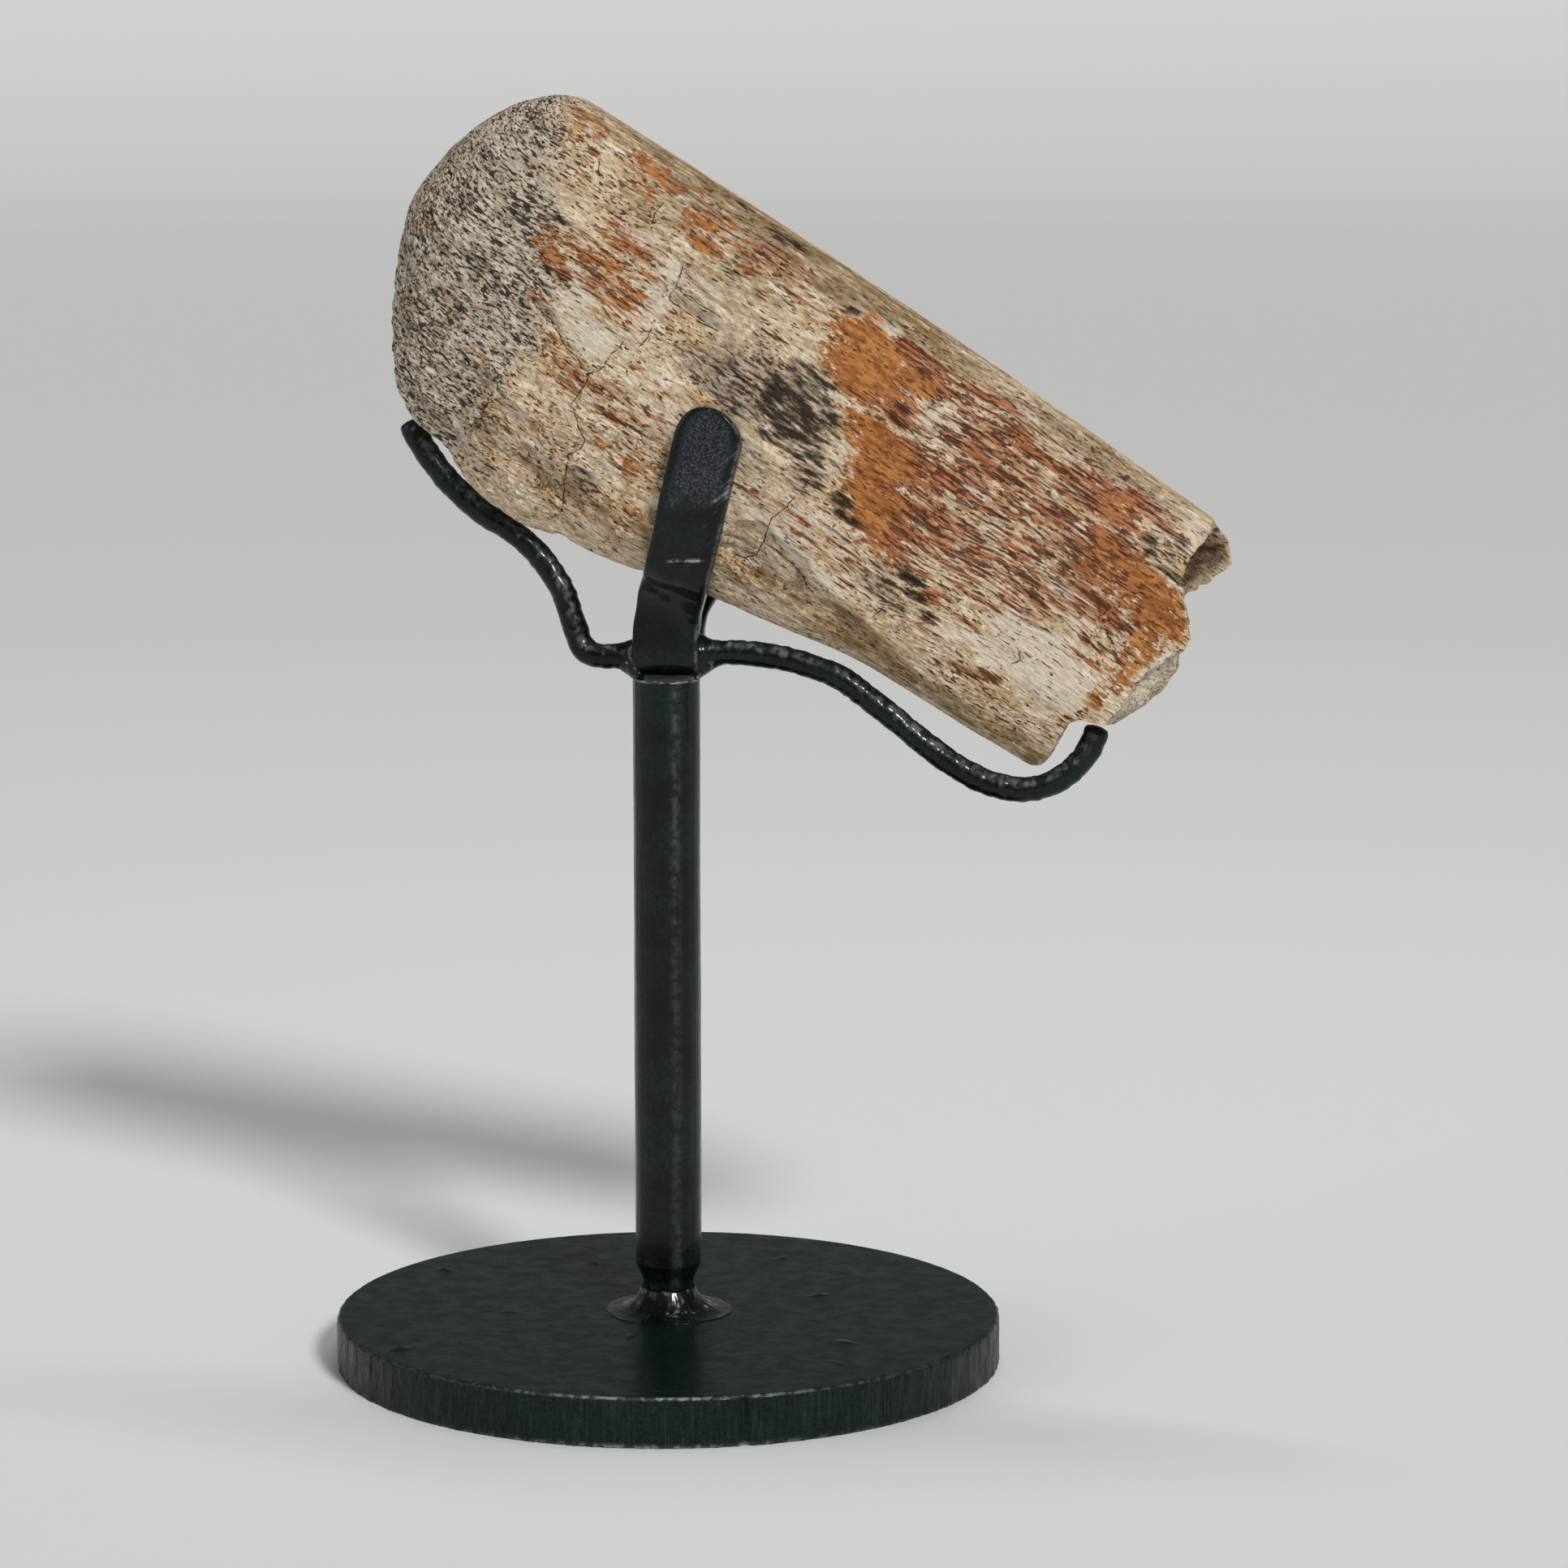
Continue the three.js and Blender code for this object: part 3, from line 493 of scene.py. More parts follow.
PALE_PATCHES = [
    (14, -11, 12, 6, 0.45), (-35, -2.6, 5.4, 3.6, 1), (-41, 1.6, 3.6, 3, 0.75), (-46, 6.2, 2.8, 1, 0.9),
    (-29.6, 14, 3.2, 4.4, 0.75), (-28, 9.4, 2.4, 3.4, 0.65), (24, 18, 2.5, 1.9, 1),
    (25.6, 21.4, 1.3, 2.6, 0.9), (28.2, 25, 1, 2.2, 0.85), (25.6, 14.2, 0.9, 1.8, 0.7),
    (13.4, 13.7, 3.4, 0.7, 0.95), (24.8, 8.1, 1.3, 0.9, 0.95), (26, 2.1, 0.8, 0.6, 0.85),
    (18, 8.2, 2, 0.5, 0.6), (42.6, 3.4, 1.3, 2.6, 0.9), (43.8, -0.4, 1, 2.4, 0.6), (39, 13, 2.2, 1.6, 0.85),
    (56, 13.4, 4.6, 0.9, 0.8), (51, 21, 2.4, 1.2, 0.75), (52.4, 17.6, 2.6, 1, 0.75),
    (64, 7.1, 3.4, 1.2, 0.95), (67.4, 3.4, 4.6, 1.2, 0.7), (73, 9.8, 2.6, 0.8, 0.8),
    (62, 10.7, 1.1, 0.8, 0.95), (63, -3.6, 10, 4.6, 0.8), (70, -8, 9, 6, 0.72), (60, -9.6, 9, 3, 0.72),
    (77, 28, 2.6, 3.4, 0.66), (68.6, 26, 5, 1.3, 0.5), (85.4, 6.6, 2.2, 3, 0.85), (85.6, -1, 1.6, 7, 0.75),
    (24, -16.6, 7, 2.2, 0.66), (15, -14, 5.4, 2.4, 0.7), (9, 28.6, 3.4, 1.4, 0.75),
    (11, 27.4, 1.6, 0.8, 0.6), (-22, 16.6, 5, 1.4, 0.6), (39.4, 20, 1.4, 1.6, 0.6), (31.6, 14.4, 1, 1, 0.6),
    (-36, 19.6, 3, 3.4, 0.45), (0, 19.4, 5, 1, 0.6), (5, 19.6, 2.4, 0.8, 0.6), (48, 9.4, 9, 0.9, 0.6),
]
# Grey scars and halos; the two long rows along t = 29 grey the upper margin as painted shade.
GREY_SCARS_AND_MARGIN_SHADE = [
    (-4, 7, 17, 10, 0.55), (4, -6, 8, 7, 0.3), (-62, 14, 16, 16, 0.3), (52, 29, 30, 3.6, 0.5),
    (-10, 29, 40, 4, 0.35), (-38, -22, 18, 8, 0.28), (2, -24, 30, 5, 0.22), (-21, 12.2, 6.4, 1.35, 0.85),
    (-11, 3.2, 9, 2.8, 0.8), (-19, 4, 3, 1.4, 0.6), (12, -19.6, 8, 2.6, 0.6), (19, -19.8, 5, 2.2, 0.55),
    (-37, -26, 4, 2, 0.4), (-22, -26.6, 4, 2.2, 0.55), (-46, -29.6, 6, 2.4, 0.4), (-50, 11.8, 6, 1.6, 0.35),
    (4, 16, 3, 1.6, 0.4), (6, -17, 3, 2, 0.4),
]
# Ochre and olive films; the long rows along the upper and lower margins are partly ochre colour and partly
# painted shade that darkens the margins.
OCHRE_AND_MARGIN_SHADE = [
    (-12, 31, 50, 4.5, 0.66), (50, 30.5, 30, 2.6, 0.5), (-25, -30, 34, 3.4, 0.45), (-64, -16, 12, 9, 0.15),
    (-30, 23, 26, 9, 0.4), (34, -23, 28, 4, 0.55), (35, -20.6, 6.4, 2, 0.95), (33, -23.6, 8, 1.6, 0.8),
    (46, -22.6, 10, 2.2, 0.75), (60, -23, 14, 2.4, 0.62), (72, -22, 8, 3, 0.55), (24, -24, 6, 2, 0.4),
    (-8, 31.6, 14, 1.3, 0.6), (-57, 29.6, 9, 2.2, 0.5), (10, 31.6, 12, 1.1, 0.35), (-35, 31.2, 12, 1, 0.5),
    (55, 28.4, 7, 1.6, 0.4), (75.6, -24, 2.6, 1.6, 0.7), (-62.5, -12, 2.6, 3, 0.35), (-14, -31, 9, 3, 0.3),
    (81.6, 24, 2.6, 4.4, 0.6), (12, -27, 8, 2, 0.45),
]
STAINS = {
    "orange": ORANGE_STAINS, "red": RED_STREAKS, "dark": DARK_STAINS, "pale": PALE_PATCHES,
    "grey": GREY_SCARS_AND_MARGIN_SHADE, "ochre_and_margin_shade": OCHRE_AND_MARGIN_SHADE,
}
STAIN_SQUARENESS = 2.4


def stain_mask(s, t, stains):
    """The strongest of several soft ovals: each is its strength where the reach of the offset
    over the half lengths is under 0.45, and 0 past 1.4."""
    mask = np.zeros(s.shape)
    for stain_s, stain_t, along, across, strength in stains:
        reach = oval_reach((s - stain_s) / along, (t - stain_t) / across, STAIN_SQUARENESS)
        mask = np.maximum(mask, strength * (1 - smooth_step(reach, 0.45, 1.4)))
    return mask


# ------------------------------------------------------------------ shape of the rib

RIB_COLUMNS = 364
FRONT_DENSITY = 1.5
LEFT_ROWS = 56
LEFT_LENGTH = 22.0
LEFT_CROWDING = 1.7
# Row spacing along the shaft, as (s, spacing): closer where the long crack crosses the face.
ROW_SPACING = [
    (-58, 0.66), (-37, 0.8), (-33.5, 0.5), (-23, 0.5), (-20, 0.86), (6, 0.86), (8, 0.7), (13, 0.7),
    (16, 0.86), (60, 0.86), (76, 0.7), (80, 0.5),
]
SCAR_SQUARENESS = 3
CELL_SIZE = 1.3
CRUMPLE_DEPTH = 1.3
FLAKE_DEPTH = 0.55
FLAKE_STEPS = 2.4
# How far the red streaks and the smooth orange patch stand up from the bone round them.
STREAK_RISE = 0.14
PATCH_RISE = 0.15
CAP_ROWS = 30
CAP_CROWDING = 1.4

bottom_margin = smooth_curve(BOTTOM_MARGIN)
front_depth = smooth_curve(FRONT_DEPTH)
back_depth = smooth_curve(BACK_DEPTH)
end_front = smooth_curve(END_FRONT)
end_middle = smooth_curve(END_MIDDLE)
end_back = smooth_curve(END_BACK)
spongy_edge = smooth_curve(SPONGY_EDGE)


def top_margin(s):
    """The rib's upper margin, t at s: a parabola that bows by EDGE_BOW, which a superellipse
    brings down to LEFT_TIP, u rising from 0 to 1 over the corner's length."""
    edge = EDGE_HEIGHT + EDGE_BOW * (1 - ((s - BOW_MIDDLE) / BOW_HALF_LENGTH) ** 2)
    u = np.clip((LEFT_END + CORNER_LENGTH - s) / CORNER_LENGTH, 0, 1)
    return LEFT_TIP + (edge - LEFT_TIP) * superellipse(u, CORNER_FULLNESS)


def rib_place(s, t, depth):
    """Turns the rib's own s, t and depth into x, y, z: s and t are turned by the slope about Y,
    and depth is y."""
    cosine, sine = math.cos(RIB_SLOPE), math.sin(RIB_SLOPE)
    x = RIB_MIDDLE[0] + s * cosine + t * sine
    z = RIB_MIDDLE[1] - s * sine + t * cosine
    return stacked(x, depth, z)


def rib_profile(s, front):
    """Middle, half height and half thickness of the sound section at s. The left end thins as a
    superellipse of 1 - u, with u rising from 0 to 1 over END_ROUND."""
    high, low = top_margin(s), bottom_margin(s)
    u = np.clip((s - LEFT_END) / END_ROUND, 0, 1)
    thinning = superellipse(1 - u, END_FULLNESS)
    return (high + low) / 2, (high - low) / 2, np.where(front, front_depth(s), back_depth(s)) * thinning


def rib_thickness(s, t, front):
    """Distance from the rib's middle plane to its sound face at (s, t): a superellipse in t."""
    middle, half, depth = rib_profile(s, front)
    across = np.clip((t - middle) / half, -1, 1)
    power = np.where(across > 0, TOP_FULLNESS, BOTTOM_FULLNESS)
    skew = np.where(front, FRONT_SKEW, BACK_SKEW)
    return depth * superellipse(np.abs(across), power) * (1 - skew * across)


def spongy_mask(s, t, front):
    """1 where the outer wall has weathered off the left end and the spongy bone lies open."""
    ragged = 1.6 * layered_noise(stacked(s / 5, t / 2.2, np.where(front, 0.0, 9.5)), 11)
    edge = spongy_edge(t) - np.where(front, 0, BACK_SPONGY_SHIFT)
    return smooth_step(edge - s + 2 * ragged, -2, 6)


def rib_loss(s, t, front):
    """What weathering took off the faces: the spongy end, oval flake scars and long swells."""
    loss = SPONGY_DEPTH * spongy_mask(s, t, front)
    wander = stacked(s / 4, t / 2.5, 0)
    wander_s, wander_t = (layered_noise(wander, seed) for seed in (21, 31))
    for scars, side in ((FRONT_SCARS, front), (BACK_SCARS, ~front)):
        for scar_s, scar_t, along, across, depth in scars:
            offset_s = (s - scar_s + 1.5 * wander_s) / along
            offset_t = (t - scar_t + 0.9 * wander_t) / across
            reach = oval_reach(offset_s, offset_t, SCAR_SQUARENESS)
            loss = loss + depth * side * (1 - smooth_step(reach, 0.84, 1.04))
    sign = np.where(front, -1, 1)
    for along, across, height, phase in SWELLS:
        drift = phase * sign + 1.3 * np.sin(0.05 * s + phase)
        loss = loss + height * (1 + np.sin(along * s + drift) * np.cos(across * t - drift))
    return loss


def rib_end(t, share):
    """s of the broken end at height t and at a share of the thickness, -1 on the outer face:
    the middle's reach blends into the wall's from 0.3 of the thickness out, or from 0.62 where
    the upper half is hollow, with ragged steps."""
    wall = np.where(share < 0, end_front(t), end_back(t))
    blend = smooth_step(np.abs(share), 0.3 + 0.32 * smooth_step(t, 9, 16), 1)
    ragged = layered_noise(stacked(t / 2.6, share * 2.5, 0), 41)
    return end_middle(t) * (1 - blend) + wall * blend + 0.75 * ragged


def rib_section(s, turn, shrink=1.0):
    """t, depth and share of the thickness of a section's points. The turn runs from the upper
    margin over the back to the lower margin and home over the outer face; across and outward
    are the superellipse cos^(2/n) and sin^(2/n). shrink draws the point in to the middle."""
    angle = 2 * np.pi * turn + 0 * s
    front = np.sin(angle) < 0
    middle, half, depth = rib_profile(s, front)
    cosine = np.cos(angle)
    power = 2 / np.where(cosine > 0, TOP_FULLNESS, BOTTOM_FULLNESS)
    across = np.sign(cosine) * np.abs(cosine) ** power
    outward_share = np.abs(np.sin(angle)) ** power
    face = np.minimum(outward_share * 1.6, 1)
    t = middle + half * across * np.sqrt(shrink)
    loss = rib_loss(s, t, front) * face * np.minimum(depth / 6, 1)
    sound = depth * outward_share * (1 - np.where(front, FRONT_SKEW, BACK_SKEW) * across)
    side = np.where(front, -1, 1)
    return t, side * shrink * np.maximum(sound - loss, 0), side * shrink * face


def rib_turns():
    """Turns of the columns: evenly spaced along the outline of the section at s = 0, and
    FRONT_DENSITY times as close on the outer face as on the back."""
    fine = np.linspace(0, 1, 8001)
    t, depth, _ = rib_section(np.zeros_like(fine), fine)
    front = fine[1:] > 0.5
    step = np.hypot(np.diff(t), np.diff(depth)) * np.where(front, FRONT_DENSITY, 1)
    length = np.concatenate([[0], np.cumsum(step)])
    return np.interp(np.arange(RIB_COLUMNS) / RIB_COLUMNS * length[-1], length, fine)


def rib_rows():
    """s of the rows: crowded towards the left tip by a power law, then ROW_SPACING apart."""
    left = LEFT_END + LEFT_LENGTH * (np.arange(1, LEFT_ROWS + 1) / LEFT_ROWS) ** LEFT_CROWDING
    fine = np.linspace(left[-1], BROKEN_END, 4001)
    spacing = np.interp(fine, *np.transpose(ROW_SPACING))
    count = np.concatenate([[0], np.cumsum(np.diff(fine) / spacing[1:])])
    rest = np.interp(np.arange(1, int(count[-1]) + 1), count, fine)
    return np.concatenate([left, rest])


def rib_grid():
    """s, t, depth of the whole surface, and how far each point lies into the broken face. Past
    STRAIGHT_TO the rows lean over to follow the break, which is closed by rows that shrink."""
    turn = rib_turns()
    rows = rib_rows()[:, None]
    edge_t, _, edge_share = rib_section(np.full_like(turn, BROKEN_END), turn)
    lean = np.maximum(rows - STRAIGHT_TO, 0) / (BROKEN_END - STRAIGHT_TO)
    s = rows + lean * (rib_end(edge_t, edge_share) - BROKEN_END)
    t, depth, _ = rib_section(s, turn[None, :])
    inward = ((np.arange(CAP_ROWS)[:, None] + 0.3) / CAP_ROWS) ** CAP_CROWDING
    cap = np.full((CAP_ROWS, RIB_COLUMNS), BROKEN_END)
    cap_t, cap_depth, cap_share = rib_section(cap, turn, (1 - inward) ** 2)
    cap_s = rib_end(cap_t, cap_share)
    broken = np.concatenate([np.zeros_like(s), smooth_step(inward, -0.05, 0.1) + 0 * cap_s])
    return np.vstack([s, cap_s]), np.vstack([t, cap_t]), np.vstack([depth, cap_depth]), broken


def crack_fields(s, t, front):
    """Signed distance to the nearest crack, and how open it is: 0 at its ends and 2 mm away."""
    nearest = np.full(s.shape, 9.0)
    strength = np.zeros(s.shape)
    wander = stacked(s / 1.7, t / 1.7, 0)
    off_s, off_t = (0.35 * layered_noise(wander, seed) for seed in (51, 61))
    for cracks, side in ((FRONT_CRACKS, front), (BACK_CRACKS, ~front)):
        for line in cracks:
            signed, share = signed_distance(s + off_s, t + off_t, line)
            closer = (np.abs(signed) < np.abs(nearest)) & side
            nearest = np.where(closer, signed, nearest)
            taper = smooth_step(share, -0.02, 0.12) * (1 - smooth_step(share, 0.86, 1.02))
            strength = np.where(closer, taper, strength)
    return nearest, strength * (1 - smooth_step(np.abs(nearest), 1.4, 2.0))


def rib_pits(s, t, depth, fields):
    """Pits from 0 to 1 deep, and the slow roughness between them: small and large lens-shaped
    pits along bent lines in the spongy end, a few small ones in the wall, round cells in the
    broken face."""
    bent = stacked(s, depth, t + 0.05 * (s + 62) * np.sin(t / 6))
    small, small_kind = nearest_seed(bent / (2.7, 0.8, 0.8), 91)
    large, large_kind = nearest_seed(bent / (5, 1.4, 1.3), 92)
    small_pit = 1 - smooth_step(small, 0.08 + 0.2 * small_kind, 0.28 + 0.26 * small_kind)
    small_pit = small_pit * (small_kind > 0.2)
    large_pit = (1 - smooth_step(large, 0.08, 0.42)) * (large_kind > 0.72)
    rough = layered_noise(bent / (7, 3, 3), 93)
    cell, cell_kind = nearest_seed(stacked(s, depth, t) / CELL_SIZE, 94)
    cell = (1 - smooth_step(cell, 0.2, 0.55)) * (cell_kind > 0.3)
    in_end = fields["spongy"] * np.maximum(small_pit, large_pit)
    in_wall = 0.5 * small_pit * (small_kind > 0.93) * (1 - fields["spongy"]) * (1 - fields["pale"])
    return np.maximum(np.maximum(in_end, in_wall), 0.8 * fields["broken"] * cell), rough


def crumpled_bone(s, t, depth):
    """How deep the bone low on the left is crumpled and flaked: the crumples follow the absolute
    value of one noise, and the flakes are terraces, FLAKE_STEPS to one unit of another."""
    place = stacked(s, depth, t)
    low_left = smooth_step(-8 - t, -6, 8) * smooth_step(20 - s, -8, 20)
    crumple = np.abs(layered_noise(place / (5.5, 2.4, 2.1), 95, 3, 0.55))
    steps = FLAKE_STEPS * (1 + layered_noise(place / (10, 8, 6), 96, 2, 0.5))
    flakes = np.floor(steps) + smooth_step(steps - np.floor(steps), 0.7, 1)
    flakes = flakes * smooth_step(np.abs(depth), 3, 8) * (1 - np.exp(-((s + 2) / 11) ** 2))
    return low_left * (CRUMPLE_DEPTH * crumple + FLAKE_DEPTH * flakes)


def rib_relief(look, s, t, depth, fields):
    """How deep the surface is cut below its smooth form: grain along the rib, pits, crumpled
    bone, raised streaks and patches, and cracks, past which the next flake lies a little lower.
    It adds the pits to the fields."""
    along = stacked(s, depth, t)
    grain = layered_noise(along / (9, 1.1, 1.1), 71) * 0.5
    grain = grain + layered_noise(along / (3.6, 0.6, 0.6), 81) * 0.5
    spongy = fields["spongy"]
    fields["pit"], rough = rib_pits(s, t, depth, fields)
    crack = fields["crack_open"] * (1 - smooth_step(np.abs(fields["crack"]), 0.1, 0.5))
    ledge = fields["crack_open"] * (fields["crack"] > 0) * np.exp(-np.abs(fields["crack"]) / 1.2)
    calm = 1 - 0.6 * np.maximum(fields["orange"], fields["pale"])
    loss = look.grain_depth * (1 + grain * calm) + 0.3 * spongy * rough
    loss = loss + crumpled_bone(s, t, depth)
    loss = loss + look.pit_depth * fields["pit"] + look.crack_depth * (0.8 * crack + 0.6 * ledge)
    loss = loss - STREAK_RISE * fields["red"] * smooth_step(grain, -0.2, 0.5) * (1 - spongy)
    return loss - PATCH_RISE * smooth_step(fields["orange"], 0.3, 0.8)


def build_rib(look):
    """The rib: its smooth form, cut back along its own normals by the relief."""
    s, t, depth, broken = rib_grid()
    front = depth < 0
    smooth = rib_place(s, t, depth)
    # stains on the hidden back are the outer face's, set out turned half round
    turned_s, turned_t = np.where(front, s, -s), np.where(front, t, -t)
    wander = stacked(s / 6, t / 2, depth / 4)
    stain_s = turned_s + 1.1 * layered_noise(wander, 101)
    stain_t = turned_t + 0.45 * layered_noise(wander, 111)
    fields = {name: stain_mask(stain_s, stain_t, stains) for name, stains in STAINS.items()}
    for name in ("orange", "red", "dark", "pale", "grey"):
        fields[name] *= smooth_step(np.abs(depth), 0.5, 5)
    fields["spongy"] = spongy_mask(s, t, front)
    fields["broken"] = broken
    # Mask of the hollow in the broken end, where the colour paints shade.
    fields["hollow"] = broken * smooth_step(np.where(front, end_front(t), end_back(t)) - s, 0.2, 1.8)
    fields["crack"], fields["crack_open"] = crack_fields(s, t, front)
    relief = rib_relief(look, s, t, depth, fields)
    thin = smooth_step(s - LEFT_END, 0, 1.5)
    normal = surface_normals(smooth)
    middle = rib_place(s, (top_margin(s) + bottom_margin(s)) / 2, 0 * s)
    outside = np.sign(np.einsum("ijk,ijk->", normal, smooth - middle))
    cut = smooth - outside * normal * (relief * thin)[..., None]
    return cut, end_middles(cut), fields


# ------------------------------------------------------------------ shapes of the stand


def turned_grid(profile, columns):
    """A profile of (radius, height) carried round Z: x = r cos a, y = r sin a, z = h."""
    radius, height = np.asarray(profile, float).T
    turn = 2 * np.pi * np.arange(columns) / columns
    x = radius[:, None] * np.cos(turn)
    y = radius[:, None] * np.sin(turn)
    return stacked(x, y, height[:, None])


def round_the_post(grid):
    """Turn about Z, distance from it and height of a grid's points."""
    x, y, height = np.moveaxis(grid, -1, 0)
    return np.arctan2(y, x), np.hypot(x, y), height


def push_out(grid, turn, distance):
    """Moves a grid's points straight away from Z, each by its own distance."""
    grid[..., 0] += np.cos(turn) * distance
    grid[..., 1] += np.sin(turn) * distance


def end_middles(grid):
    """The middles of the first and the last row, where the vertices that close them stand."""
    return grid[0].mean(axis=0), grid[-1].mean(axis=0)


def on_axis(low, high):
    """Two points on Z."""
    return np.array([0, 0, low]), np.array([0, 0, high])


def profile_through(corners, spacing):
    """Points about spacing apart along the straight lines from corner to corner."""
    corners = np.asarray(corners, float)
    pieces = [corners[:1]]
    for start, end in zip(corners[:-1], corners[1:]):
        count = max(int(np.ceil(np.linalg.norm(end - start) / spacing)), 1)
        share = np.arange(1, count + 1)[:, None] / count
        pieces.append(start + share * (end - start))
    return np.vstack(pieces)


def arc(centre, radius, start, end, steps):
    """Points of a circular arc, in degrees from start to end."""
    angle = np.radians(np.linspace(start, end, steps + 1))
    return stacked(centre[0] + radius * np.cos(angle), centre[1] + radius * np.sin(angle))


PLATE_COLUMNS = 720
PLATE_TOP_EDGE = 0.9
PLATE_BOTTOM_EDGE = 0.3
PIERCE_TURN = math.radians(-65.5)
# Turn and spread of the front, where the painted rim highlight is strongest.
PLATE_HIGHLIGHT_SIDE = (math.radians(-80), math.radians(24))
# Blobs of paint and spatter on the plate's top: x, y, radius, height.
PLATE_BLOBS = [
    (-43, -38, 1.1, 0.5), (27, 16, 0.9, 0.45), (-3, -22, 0.8, 0.35), (38, -18, 1, 0.45), (39, -33, 0.8, 0.3),
    (-50, 22, 0.9, 0.4), (-22, 33, 0.7, 0.3), (14, 44, 0.9, 0.35), (-30, -8, 0.6, 0.25), (9, -44, 0.6, 0.22),
]


def build_plate(look):
    """The base plate: a disc with rounded edges whose cut wall is grooved by the torch. The
    grooves are noise in the turn that hardly changes with height and trails back below."""
    top, bottom = PLATE_TOP_EDGE, PLATE_BOTTOM_EDGE
    wall = profile_through([(PLATE_RADIUS, PLATE_LOW[2] + bottom), (PLATE_RADIUS, PLATE_TOP - top)], 0.45)
    profile = np.vstack([
        [(8, 0), (30, 0), (52, 0)],
        arc((PLATE_RADIUS - bottom, PLATE_LOW[2] + bottom), bottom, -90, 0, 4),
        wall[1:],
        arc((PLATE_RADIUS - top, PLATE_TOP - top), top, 0, 90, 7)[1:],
        profile_through([(PLATE_RADIUS - top - 0.4, PLATE_TOP), (4, PLATE_TOP)], 1.5),
    ])
    grid = turned_grid(profile, PLATE_COLUMNS)
    turn, radius, height = round_the_post(grid)
    on_wall = smooth_step(radius, PLATE_RADIUS - 0.9, PLATE_RADIUS - 0.2)
    trail = turn + 0.012 * smooth_step(PLATE_TOP - height, 2, 9)
    ring = stacked(np.cos(trail), np.sin(trail), height * 0.0012)
    coarse = layered_noise(ring * 34, 201)
    fine = layered_noise(ring * 95 + np.array([0, 0, 1]) * height[..., None] * 0.03, 202)
    pierce = np.exp(-((turn - PIERCE_TURN) / 0.012) ** 2)
    groove = 0.18 * coarse + 0.2 * fine + 1.1 * pierce
    waver = 0.12 * np.sin(2 * turn + 0.7) + 0.08 * np.sin(5 * turn)
    dross = smooth_step(value_noise(ring * 26, 203), 0.25, 0.7) * np.exp(-((height - 0.5) / 0.6) ** 2)
    shift = on_wall * (look.plate_grooves * (groove - 0.12) * -1 - 0.12 + 0.1 * waver + 0.12 * dross)
    push_out(grid, turn, shift)
    on_top = smooth_step(height, PLATE_TOP - 0.3, PLATE_TOP) * (1 - on_wall)
    flow = layered_noise(grid / 14, 204)
    for x, y, size, rise in PLATE_BLOBS:
        reach = np.hypot(grid[..., 0] - x, grid[..., 1] - y) / size
        grid[..., 2] += on_top * rise * (1 - smooth_step(reach, 0, 1.5))
    grid[..., 2] += on_top * 0.03 * flow - 0.03 * on_top
    # Pale rim line along the top edge, a painted highlight strongest at the front, and a pale band round the
    # wall's foot, a painted reflection.
    rim = 1 - smooth_step(np.hypot(radius - PLATE_RADIUS + 0.35, height - PLATE_TOP + 0.35), 0.1, 0.5)
    foot = 1 - smooth_step(np.abs(height - 0.35), 0.1, 0.5)
    facing = np.exp(-((turn - PLATE_HIGHLIGHT_SIDE[0]) / PLATE_HIGHLIGHT_SIDE[1]) ** 2)
    worn_and_highlit = (rim + 0.7 * foot * on_wall) * (0.12 + 0.88 * facing)
    fields = {"cut": on_wall * look.plate_grooves, "worn_and_highlit": worn_and_highlit}
    return grid, on_axis(PLATE_LOW[2], PLATE_TOP - 0.03), fields


POST_COLUMNS = 120
POST_TOP_EDGE = 0.6
NECK_EDGE = 0.6
POST_DISH = 0.6
# Turn and width of a faint painted highlight streak down the post.
POST_HIGHLIGHT_STREAK = (math.radians(-62), 0.14)


def build_post(look):
    """The post: a drawn bar, turned down to a neck where it meets the plate. Its top is dished,
    so that only the rim shows under the strap."""
    top = POST_TOP_EDGE
    profile = np.vstack([
        profile_through([(POST_FOOT_RADIUS, POST_LOW[2]), (POST_FOOT_RADIUS, NECK_BOTTOM)], 0.8),
        profile_through([(POST_FOOT_RADIUS, NECK_BOTTOM), (POST_RADIUS - 0.25, NECK_TOP - 0.25)], 0.6)[1:],
        arc((POST_RADIUS - NECK_EDGE, NECK_TOP + 0.4), NECK_EDGE, -25, 0, 3),
        profile_through([(POST_RADIUS, NECK_TOP + NECK_EDGE), (POST_RADIUS, POST_TOP - top)], 0.9),
        arc((POST_RADIUS - top, POST_TOP - top), top, 0, 90, 6)[1:],
        [(POST_RADIUS - 1.2, POST_TOP - 0.02), (3.5, POST_TOP - POST_DISH)],
    ])
    grid = turned_grid(profile, POST_COLUMNS)
    turn, _, height = round_the_post(grid)
    drawn = stacked(np.cos(turn) * 7, np.sin(turn) * 7, height / 60)
    dents = stacked(np.cos(turn) * 1.6, np.sin(turn) * 1.6, height / 12)
    change = look.hammering * (0.16 * value_noise(dents, 211) + 0.2 * layered_noise(drawn, 212)) - 0.02
    push_out(grid, turn, change)
    _, radius, _ = round_the_post(grid)
    # Pale rim round the top edge and a faint upright streak: painted highlights.
    reach = np.hypot(radius - POST_RADIUS + 0.2, height - POST_TOP + 0.2)
    highlight_streak = np.exp(-((turn - POST_HIGHLIGHT_STREAK[0]) / POST_HIGHLIGHT_STREAK[1]) ** 2) * (1 + layered_noise(drawn, 213))
    fields = {"worn_and_highlit": 0.9 * (1 - smooth_step(reach, 0.05, 0.4)) + 0.12 * highlight_streak}
    return grid, on_axis(POST_LOW[2], POST_TOP - POST_DISH), fields


def worn_and_glint_specks(grid, seed):
    """Specks of bare metal and painted glints, where a noise of the place is high."""
    return 0.8 * smooth_step(layered_noise(grid / 1.3, seed), 0.3, 0.5)


FOOT_WELD_COLUMNS = 220
FOOT_WELD_SCALLOPS = 34
FOOT_WELD_HEIGHT = 4.7
FOOT_WELD_LIP = 0.1
FOOT_WELD_HOLLOW = 3.4


